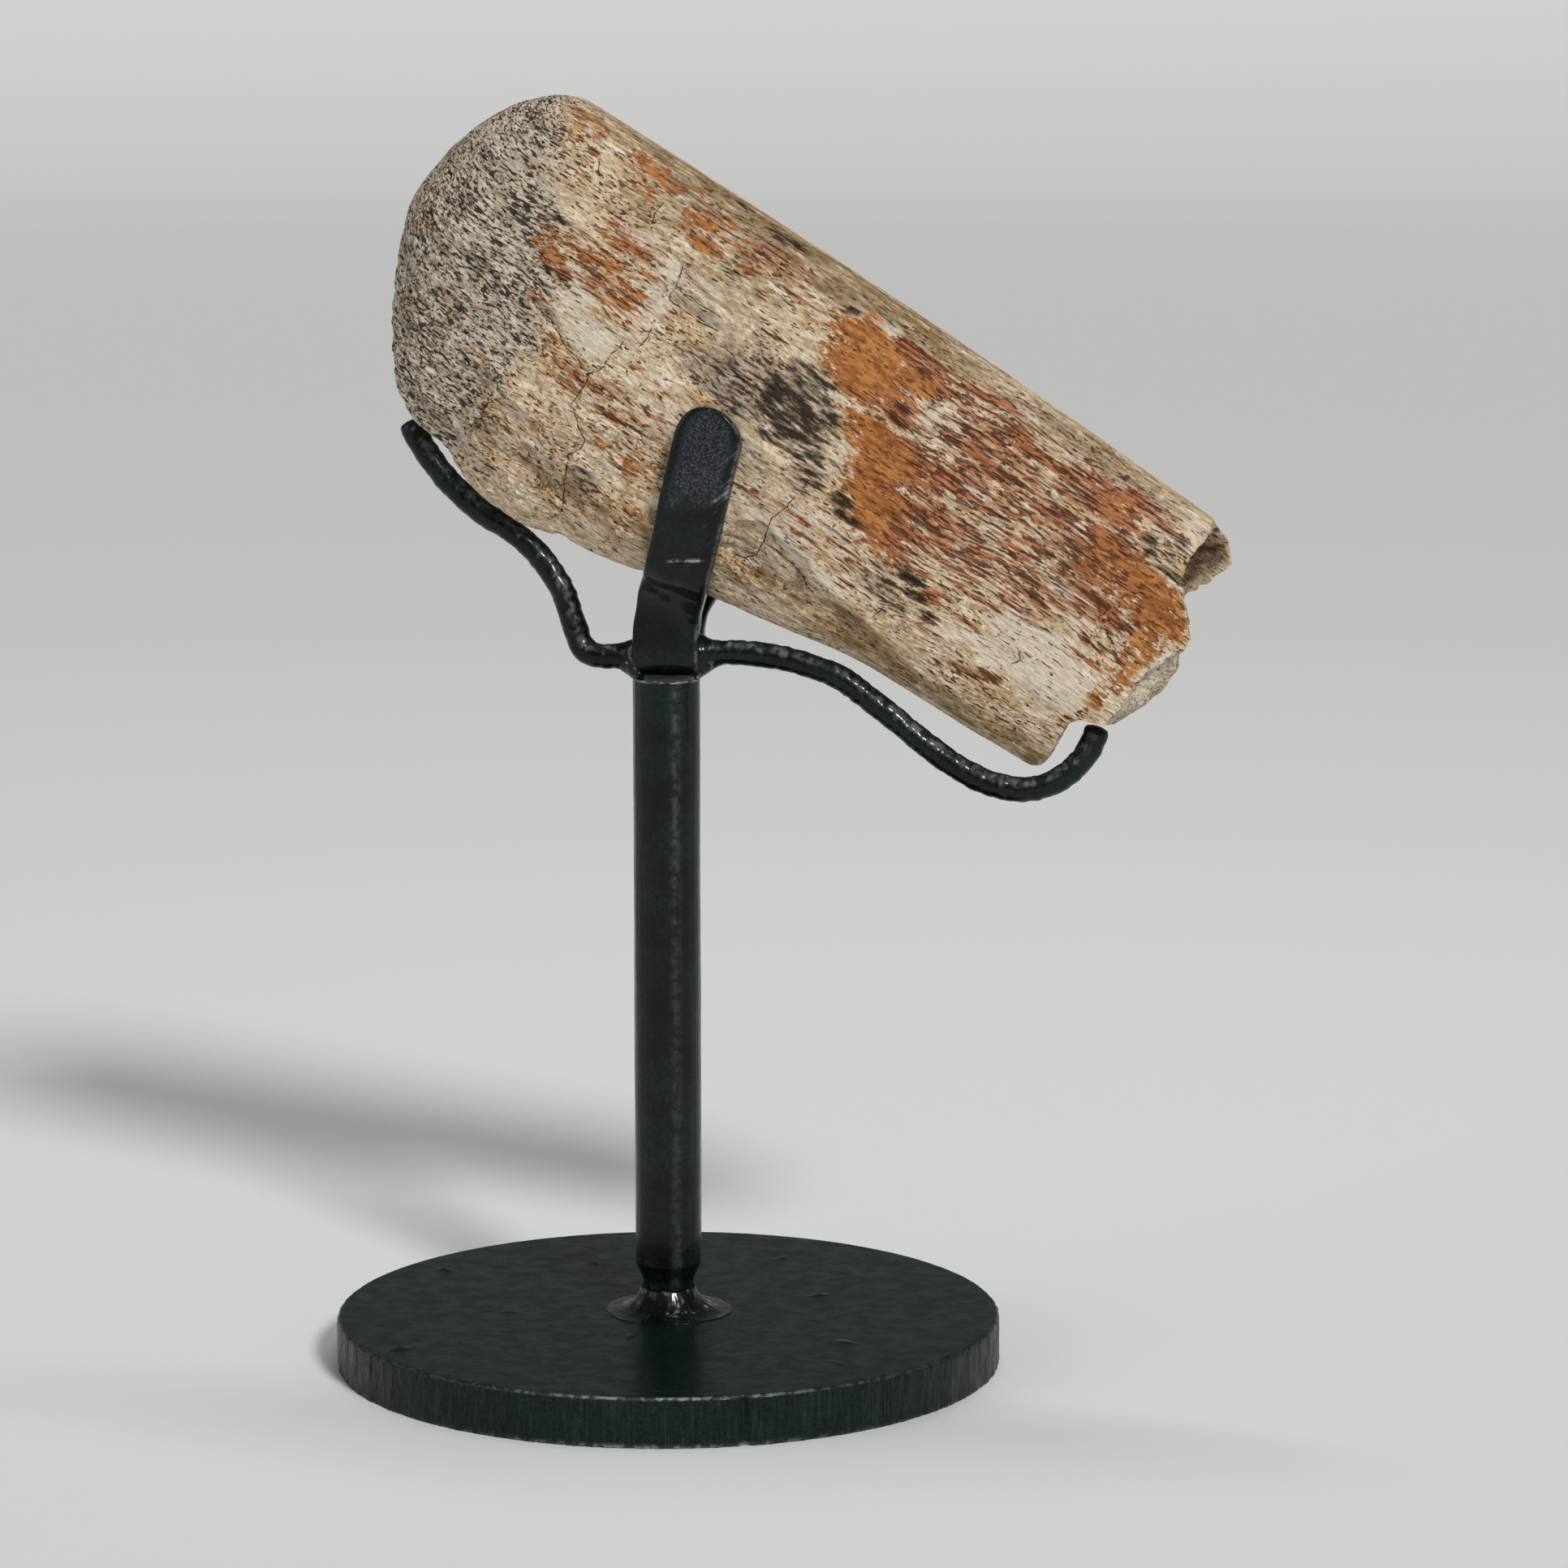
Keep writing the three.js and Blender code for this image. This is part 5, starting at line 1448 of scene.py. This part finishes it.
def paint_group():
    """Brushed-on paint over hammered steel. Its height adds slow dents, a fine skin, and, where
    the mesh says so, wrinkles and the grooves of the cutting torch: wrinkles are plateaus parted
    by valleys along the places where a noise passes 1/2, grooves are noise drawn out upright."""
    sockets = {"Dents": "Float", "Skin": "Float", "Gloss low": "Float", "Gloss high": "Float"}
    outputs = {"Height": "Float", "Roughness": "Float", "Specks": "Float", "Painted sheen": "Float", "Worn and highlit": "Float"}
    g, start, end = new_group("Black paint", sockets, outputs)
    place = g.stretch(g.add("TexCoord").outputs["Object"], PER_MILLIMETRE)
    wrinkled = g.field("wrinkled")
    cut = g.field("cut")
    dents = g.times(g.noise(place, 0.45), start.outputs["Dents"])
    skin = g.times(g.noise(place, 2.6, 3.0, 0.6), start.outputs["Skin"])
    valley = g.math("ABSOLUTE", g.minus(g.noise(place, 1.6, 1.0), 0.5))
    plateau = g.times(g.step(valley, 0.0, 0.06), wrinkled)
    stripes = g.noise(g.stretch(place, (1.7, 1.7, 0.12)), 1.0, 2.0, 0.6)
    grooves = g.times(stripes, cut)
    raised = g.plus(plateau, g.times(grooves, 5.0))
    height = g.plus(g.plus(dents, skin), raised)
    low, high = start.outputs["Gloss low"], start.outputs["Gloss high"]
    rough = g.step(g.noise(place, 0.22, 3.0, 0.6), 0.36, 0.64, low, high)
    specks = g.step(g.noise(place, 1.9, 1.0, 0.4), 0.73, 0.78)
    # Painted sheen: glints on the wrinkles' plateaus and light stripes in the torch grooves.
    glints = g.step(g.noise(place, 2.6, 1.0), 0.4, 0.64, 0.2, 1.0)
    striped = g.times(g.step(stripes, 0.45, 0.75, 0.0, 0.22), cut)
    painted_sheen = g.plus(g.times(plateau, glints), striped)
    patchy = g.step(g.noise(place, 0.55, 3.0, 0.6), 0.42, 0.6, 0.15, 1.0)
    # Pale mask from the mesh, broken into patches: worn paint, and painted highlights and reflections.
    worn_and_highlit = g.times(patchy, g.field("worn_and_highlit"))
    g.feed(end, {"Worn and highlit": worn_and_highlit, "Height": height, "Roughness": rough, "Specks": specks, "Painted sheen": painted_sheen})
    return g.tree


def paint_material(look, name, dents, skin, gloss, distance, coat=0.32, green_share=0.4):
    """Black paint whose colour drifts between two near blacks, greyed by a painted sheen where it is
    wrinkled or grooved, with dusty specks, and with pale steel that shows worn edges and also paints
    highlights and reflections on them."""
    material, g, shader = new_material(name)
    inputs = {"Dents": dents, "Skin": skin, "Gloss low": gloss[0], "Gloss high": gloss[1]}
    paint = g.group(finish_named("paint group", paint_group), inputs)
    place = g.stretch(g.add("TexCoord").outputs["Object"], PER_MILLIMETRE)
    drift = g.noise(place, 0.12, 4.0, 0.6)
    mottle = g.step(g.noise(place, 1.3, 2.0, 0.6), 0.35, 0.65, 0.25, 1.0)
    green = g.times(g.step(drift, 0.58 - green_share / 2, 0.82 - green_share / 2), mottle)
    colour = g.mix(green, look.paint, look.paint_green)
    # The painted sheen greys the paint's colour.
    colour = g.mix(paint.outputs["Painted sheen"], colour, look.painted_sheen)
    colour = g.mix(g.times(paint.outputs["Specks"], 0.4), colour, look.dust)
    # Pale steel laid over the paint: worn edges, and painted highlights and reflections.
    colour = g.mix(paint.outputs["Worn and highlit"], colour, look.worn_and_highlit)
    bump = g.add("Bump", {"Height": paint.outputs["Height"], "Strength": 1.0, "Distance": distance})
    rough = paint.outputs["Roughness"]
    g.feed(shader, {"Base Color": colour, "Roughness": rough, "Normal": bump.outputs[0]})
    shader.inputs["Specular IOR Level"].default_value = 0.11
    shader.inputs["Coat Weight"].default_value = coat
    shader.inputs["Coat Roughness"].default_value = 0.1
    return material


_finished = {}


def finish_named(name, make):
    """The material or node group of that name, made the first time that it is asked for."""
    if name not in _finished:
        _finished[name] = make()
    return _finished[name]


def bar_paint(look):
    """Paint on the hammered bars."""
    name, gloss = "Black paint on steel", (look.gloss, look.gloss + 0.12)
    return finish_named(name, lambda: paint_material(look, name, 0.8, 0.3, gloss, 0.00013))


def plate_paint(look):
    """Smoother, greener paint on the flat plate."""
    name, gloss = "Black paint on plate", (look.gloss + 0.04, look.gloss + 0.16)
    return finish_named(name, lambda: paint_material(look, name, 0.25, 0.4, gloss, 0.0001, 0.12, 0.9))


def weld_paint(look):
    """Paint that follows the ripples of the weld metal."""
    name, gloss = "Black paint on weld metal", (look.gloss - 0.05, look.gloss + 0.08)
    return finish_named(name, lambda: paint_material(look, name, 1.3, 0.6, gloss, 0.00018))


# ------------------------------------------------------------------ sizes and colours to change


def colour_property(name, description, default):
    return bpy.props.FloatVectorProperty(
        name=name, description=description, default=default, size=3, min=0, max=1, subtype="COLOR",
    )


def number_property(name, description, default, **limits):
    return bpy.props.FloatProperty(name=name, description=description, default=default, **limits)


class FossilRibLook(bpy.types.PropertyGroup):
    """Relief and colours of the rib. Depths are in millimetres."""

    grain_depth: number_property("Grain depth", "Half the depth of the lengthwise grain", 0.12, min=0)
    pit_depth: number_property("Pit depth", "Depth of the pits in the spongy end", 0.55, min=0.01)
    crack_depth: number_property("Crack depth", "Depth of the cracks", 0.45, min=0)
    crack_width: number_property(
        "Crack width", "How wide the cracks open, 1 as found", 1.0, min=0.01, subtype="FACTOR",
    )
    bump_height: number_property(
        "Fine relief", "Height of the relief finer than the mesh", 0.0006, min=0, unit="LENGTH",
    )
    fibre_light: number_property(
        "Fibre light", "How much the grain lightens the colours", 1.18, min=1, subtype="FACTOR",
    )
    fibre_shade: colour_property(
        "Fibre shade", "What the darker fibres multiply the colours by", (0.70, 0.62, 0.52),
    )
    line_strength: number_property(
        "Line strength", "How dark the lines of the grain are", 0.96, min=0, max=1, subtype="FACTOR",
    )
    cream: colour_property("Cream", "Main colour of the outer wall", (0.7, 0.585, 0.435))
    tan: colour_property("Tan", "Darker drifts of the outer wall", (0.58, 0.455, 0.29))
    pale: colour_property("Pale", "Lighter flecks of the outer wall", (0.82, 0.73, 0.61))
    fleck: colour_property("Fleck", "Yellow-brown flecks of the outer wall", (0.5, 0.265, 0.09))
    bare: colour_property("Bare", "Bare pale places", (0.72, 0.645, 0.54))
    scar: colour_property("Scar", "Grey scars where flakes came off", (0.37, 0.31, 0.255))
    # Ochre films, also painted shade along the margins.
    ochre_and_margin_shade: colour_property("Ochre", "Ochre and olive films near the margins", (0.19, 0.115, 0.04))
    spongy_light: colour_property("Spongy light", "Light spongy bone", (0.58, 0.525, 0.45))
    spongy_dark: colour_property("Spongy dark", "Dark spongy bone", (0.44, 0.385, 0.32))
    orange: colour_property("Orange", "Orange-brown stain", (0.29, 0.088, 0.013))
    orange_light: colour_property("Light orange", "Lighter drifts of that stain", (0.52, 0.21, 0.05))
    red_brown: colour_property("Red-brown", "Dark red-brown streaks", (0.08, 0.022, 0.009))
    red_light: colour_property("Light red-brown", "Lighter red-brown streaks", (0.42, 0.15, 0.06))
    stain: colour_property("Stain", "Black and grey stains", (0.010, 0.008, 0.007))
    line: colour_property("Grain lines", "Fine dark lines along the grain", (0.085, 0.036, 0.017))
    pit: colour_property("Pits", "Dirt in the pits", (0.03, 0.025, 0.022))
    # Painted shade deep in the hollow of the broken end.
    hollow: colour_property("Hollow shade", "Deep in the hollow of the broken end", (0.07, 0.028, 0.011))
    crack: colour_property("Cracks", "Dirt in the cracks", (0.05, 0.035, 0.025))


class FossilStandLook(bpy.types.PropertyGroup):
    """Relief and colours of the steel stand. Depths are in millimetres."""

    hammering: number_property("Hammering", "Depth of the hammer marks", 0.5, min=0)
    plate_grooves: number_property(
        "Cut grooves", "How rough the plate's cut wall is, 1 as found", 1.0, min=0, subtype="FACTOR",
    )
    wrinkles: number_property("Wrinkles", "Height of the wrinkled paint on the prongs", 0.16, min=0)
    weld_lumps: number_property("Weld lumps", "Height of the lumps in the welds", 0.7, min=0)
    gloss: number_property(
        "Paint roughness", "Lowest roughness of the paint", 0.24, min=0.05, max=0.8, subtype="FACTOR",
    )
    paint: colour_property("Paint", "Black paint", (0.002, 0.0024, 0.0026))
    paint_green: colour_property("Green-black", "Greenish drifts of the paint", (0.004, 0.015, 0.012))
    # Grey of the painted sheen on wrinkled and grooved paint.
    painted_sheen: colour_property("Painted sheen", "Grey sheen of wrinkled and grooved paint", (0.062, 0.067, 0.085))
    # Pale colour for worn edges and for the painted highlights on them.
    worn_and_highlit: colour_property("Worn and highlit", "Pale steel where edges are worn", (0.3, 0.31, 0.33))
    dust: colour_property("Dust", "Specks of dust and worn paint", (0.07, 0.072, 0.075))


class FossilStageLook(bpy.types.PropertyGroup):
    """The floor, the lights and where the camera stands."""

    camera_distance: number_property(
        "Camera distance", "From the stand's axis", 0.95, min=0.1, unit="LENGTH",
    )
    camera_height: number_property("Camera height", "Above the floor", 0.2564, min=0, unit="LENGTH")
    camera_side: number_property(
        "Camera side", "How far the camera stands round to the right", math.radians(12), subtype="ANGLE",
    )
    camera_down: number_property(
        "Camera tilt", "How far the camera looks down", math.radians(8.66), subtype="ANGLE",
    )
    camera_pan: number_property(
        "Camera pan", "How far it looks to the right of the axis", math.radians(1.34), subtype="ANGLE",
    )
    lens: number_property(
        "Lens", "Focal length for a 36 mm wide frame", 116.4, min=10, subtype="DISTANCE_CAMERA",
    )
    floor: colour_property("Floor", "Pale floor", (0.9, 0.9, 0.89))
    sky: colour_property("Surroundings", "Even light from all round", (0.90, 0.95, 1.0))
    sky_strength: number_property(
        "Surroundings strength", "Strength of the even light", 0.15, min=0, subtype="FACTOR",
    )
    key_strength: number_property("Key light", "Strength of the main soft light", 2.1, min=0)
    fill_strength: number_property("Fill light", "Strength of the soft light on the left", 0.6, min=0)
    top_power: number_property(
        "Top light", "Power of the strip light above the stand", 2.0, min=0, unit="POWER",
    )


# ------------------------------------------------------------------ operators


def looks(context):
    scene = context.scene
    return scene.fossil_rib, scene.fossil_stand, scene.fossil_stage


class FOSSIL_OT_rib(bpy.types.Operator):
    """Build the length of rib"""

    bl_idname = "fossil.rib"
    bl_label = "Rib"

    def execute(self, context):
        look = looks(context)[0]
        make_piece("fossil_rib", build_rib(look), bone_material(look), ["rib_bone"])
        return {"FINISHED"}


class FOSSIL_OT_plate(bpy.types.Operator):
    """Build the torch-cut base plate"""

    bl_idname = "fossil.plate"
    bl_label = "Base plate"

    def execute(self, context):
        look = looks(context)[1]
        make_piece("steel_plate", build_plate(look), plate_paint(look), ["base_plate"])
        return {"FINISHED"}


class FOSSIL_OT_post(bpy.types.Operator):
    """Build the post and the weld at its foot"""

    bl_idname = "fossil.post"
    bl_label = "Post and foot weld"

    def execute(self, context):
        look = looks(context)[1]
        make_piece("steel_post", build_post(look), bar_paint(look), ["post"])
        weld = build_foot_weld(look)
        make_piece("post_foot_weld", weld, weld_paint(look), ["foot_weld"])
        return {"FINISHED"}


class FOSSIL_OT_strap(bpy.types.Operator):
    """Build the folded strap whose legs clasp the rib"""

    bl_idname = "fossil.strap"
    bl_label = "Folded strap"

    def execute(self, context):
        look = looks(context)[1]
        make_piece("folded_strap", build_strap(look), bar_paint(look), ["prong_strap"])
        return {"FINISHED"}


# Each arm's side, path and seed, and its weld's direction along X, reach inwards and seed.
ARM_SIDES = (
    ("left", LEFT_ARM_PATH, 301, -1, 2.4, 306),
    ("right", RIGHT_ARM_PATH, 311, 1, 2.6, 316),
)


class FOSSIL_OT_arms(bpy.types.Operator):
    """Build the two bent arms and the welds at their roots"""

    bl_idname = "fossil.arms"
    bl_label = "Arms and their welds"

    def execute(self, context):
        look = looks(context)[1]
        for side, path, seed, outwards, reach_in, weld_seed in ARM_SIDES:
            arm = build_arm(look, path, seed)
            make_piece(f"bent_{side}_arm", arm, bar_paint(look), [f"{side}_arm"])
            weld = build_arm_weld(look, path, outwards, reach_in, weld_seed)
            make_piece(f"{side}_root_weld", weld, weld_paint(look), [f"{side}_arm_weld"])
        return {"FINISHED"}


def add_lamp(name, light, place, aim, colour):
    """Sets a light at a place, in metres, so that it faces aim."""
    light.color = colour
    lamp = add_object(name, light)
    lamp.location = place
    lamp.rotation_euler = (Vector(aim) - Vector(place)).to_track_quat("-Z", "Y").to_euler()


# Places of the lights and the size of the strip, in metres, and the colours of the first two.
KEY_PLACE = (0.62, -0.8, 0.86)
KEY_COLOUR = (1.0, 0.98, 0.95)
FILL_PLACE = (-0.9, -0.6, 0.5)
FILL_COLOUR = (0.92, 0.96, 1.0)
TOP_PLACE = (0.1, 0.25, 1.1)
TOP_SIZE = (0.6, 0.06)

# The floor in metres: flat out to the first radius, risen by FLOOR_RISE at its rim.
FLOOR_FLAT = 5.0
FLOOR_RIM = 8.0
FLOOR_RISE = 0.7


def add_distant_light(name, place, aim, spread, strength, colour):
    """A wide soft light that falls evenly on the whole floor. The spread is an angle."""
    light = bpy.data.lights.new(name, "SUN")
    light.energy = strength
    light.angle = spread
    add_lamp(name, light, place, aim, colour)


def add_strip_light(name, place, aim, size, power, colour):
    """A rectangular soft light of a size in metres."""
    light = bpy.data.lights.new(name, "AREA")
    light.shape = "RECTANGLE"
    light.size, light.size_y = size
    light.energy = power
    add_lamp(name, light, place, aim, colour)


def add_floor(look):
    """A round floor that rises at its rim: the height beyond FLOOR_FLAT is FLOOR_RISE times the
    square of the share of the way out to FLOOR_RIM."""
    rings, sides = 9, 96
    share = np.linspace(0, 1, rings)[:, None]
    turn = 2 * np.pi * np.arange(sides)[None, :] / sides
    radius = FLOOR_FLAT + (FLOOR_RIM - FLOOR_FLAT) * share
    grid = stacked(radius * np.cos(turn), radius * np.sin(turn), FLOOR_RISE * share ** 2)
    inner = np.arange(rings - 1)[:, None] * sides + np.arange(sides)
    beside = np.roll(inner, -1, axis=1)
    quads = stacked(inner, inner + sides, beside + sides, beside).reshape(-1, 4)
    mesh = bpy.data.meshes.new("floor")
    mesh.from_pydata(grid.reshape(-1, 3).tolist(), [], [list(range(sides)), *quads.tolist()])
    mesh.shade_smooth()
    material, g, shader = new_material("Pale floor")
    g.feed(shader, {"Base Color": rgba(look.floor), "Roughness": 0.8, "Specular IOR Level": 0.2})
    mesh.materials.append(material)
    floor = add_object("floor", mesh)


def add_camera(look):
    """The camera, at its distance round the stand's axis, turned to look past it and down."""
    camera = bpy.data.cameras.new("Camera")
    camera.lens = look.lens
    camera.sensor_width = 36
    camera.clip_start, camera.clip_end = 0.01, 200
    holder = add_object("Camera", camera)
    side, distance = look.camera_side, look.camera_distance
    holder.location = (distance * math.sin(side), -distance * math.cos(side), look.camera_height)
    holder.rotation_euler = (math.pi / 2 - look.camera_down, 0, side - look.camera_pan)
    bpy.context.scene.camera = holder


class FOSSIL_OT_stage(bpy.types.Operator):
    """Set out the floor, the soft lights and the camera"""

    bl_idname = "fossil.stage"
    bl_label = "Stage"

    def execute(self, context):
        look = looks(context)[2]
        world = bpy.data.worlds.new("Surroundings")
        world.use_nodes = True
        background = world.node_tree.nodes["Background"]
        background.inputs["Color"].default_value = rgba(look.sky)
        background.inputs["Strength"].default_value = look.sky_strength
        context.scene.world = world
        context.scene.view_settings.view_transform = "Standard"
        aim = (0.02, 0, 0.15)
        add_distant_light("Key", KEY_PLACE, aim, math.radians(11), look.key_strength, KEY_COLOUR)
        add_distant_light("Fill", FILL_PLACE, aim, math.radians(45), look.fill_strength, FILL_COLOUR)
        add_strip_light("Top", TOP_PLACE, aim, TOP_SIZE, look.top_power, (1.0, 1.0, 1.0))
        add_floor(look)
        add_camera(look)
        return {"FINISHED"}


class FOSSIL_PT_build(bpy.types.Panel):
    """Lists the pieces to build, and their sizes and colours"""

    bl_idname = "FOSSIL_PT_build"
    bl_label = "Fossil Rib on a Stand"
    bl_space_type = "VIEW_3D"
    bl_region_type = "UI"
    bl_category = "Fossil"

    def draw(self, context):
        for operator in OPERATORS:
            self.layout.operator(operator.bl_idname)
        for look in looks(context):
            box = self.layout.box()
            for name in look.__annotations__:
                box.prop(look, name)


OPERATORS = (
    FOSSIL_OT_stage, FOSSIL_OT_rib, FOSSIL_OT_plate, FOSSIL_OT_post, FOSSIL_OT_strap, FOSSIL_OT_arms,
)
LOOKS = {"fossil_rib": FossilRibLook, "fossil_stand": FossilStandLook, "fossil_stage": FossilStageLook}
CLASSES = (*LOOKS.values(), *OPERATORS, FOSSIL_PT_build)


def register():
    for cls in CLASSES:
        bpy.utils.register_class(cls)
    for name, cls in LOOKS.items():
        setattr(bpy.types.Scene, name, bpy.props.PointerProperty(type=cls))


def unregister():
    for name in LOOKS:
        delattr(bpy.types.Scene, name)
    for cls in reversed(CLASSES):
        bpy.utils.unregister_class(cls)


def main():
    register()
    bpy.ops.fossil.stage()
    bpy.ops.fossil.rib()
    bpy.ops.fossil.plate()
    bpy.ops.fossil.post()
    bpy.ops.fossil.strap()
    bpy.ops.fossil.arms()


if __name__ == "__main__":
    main()
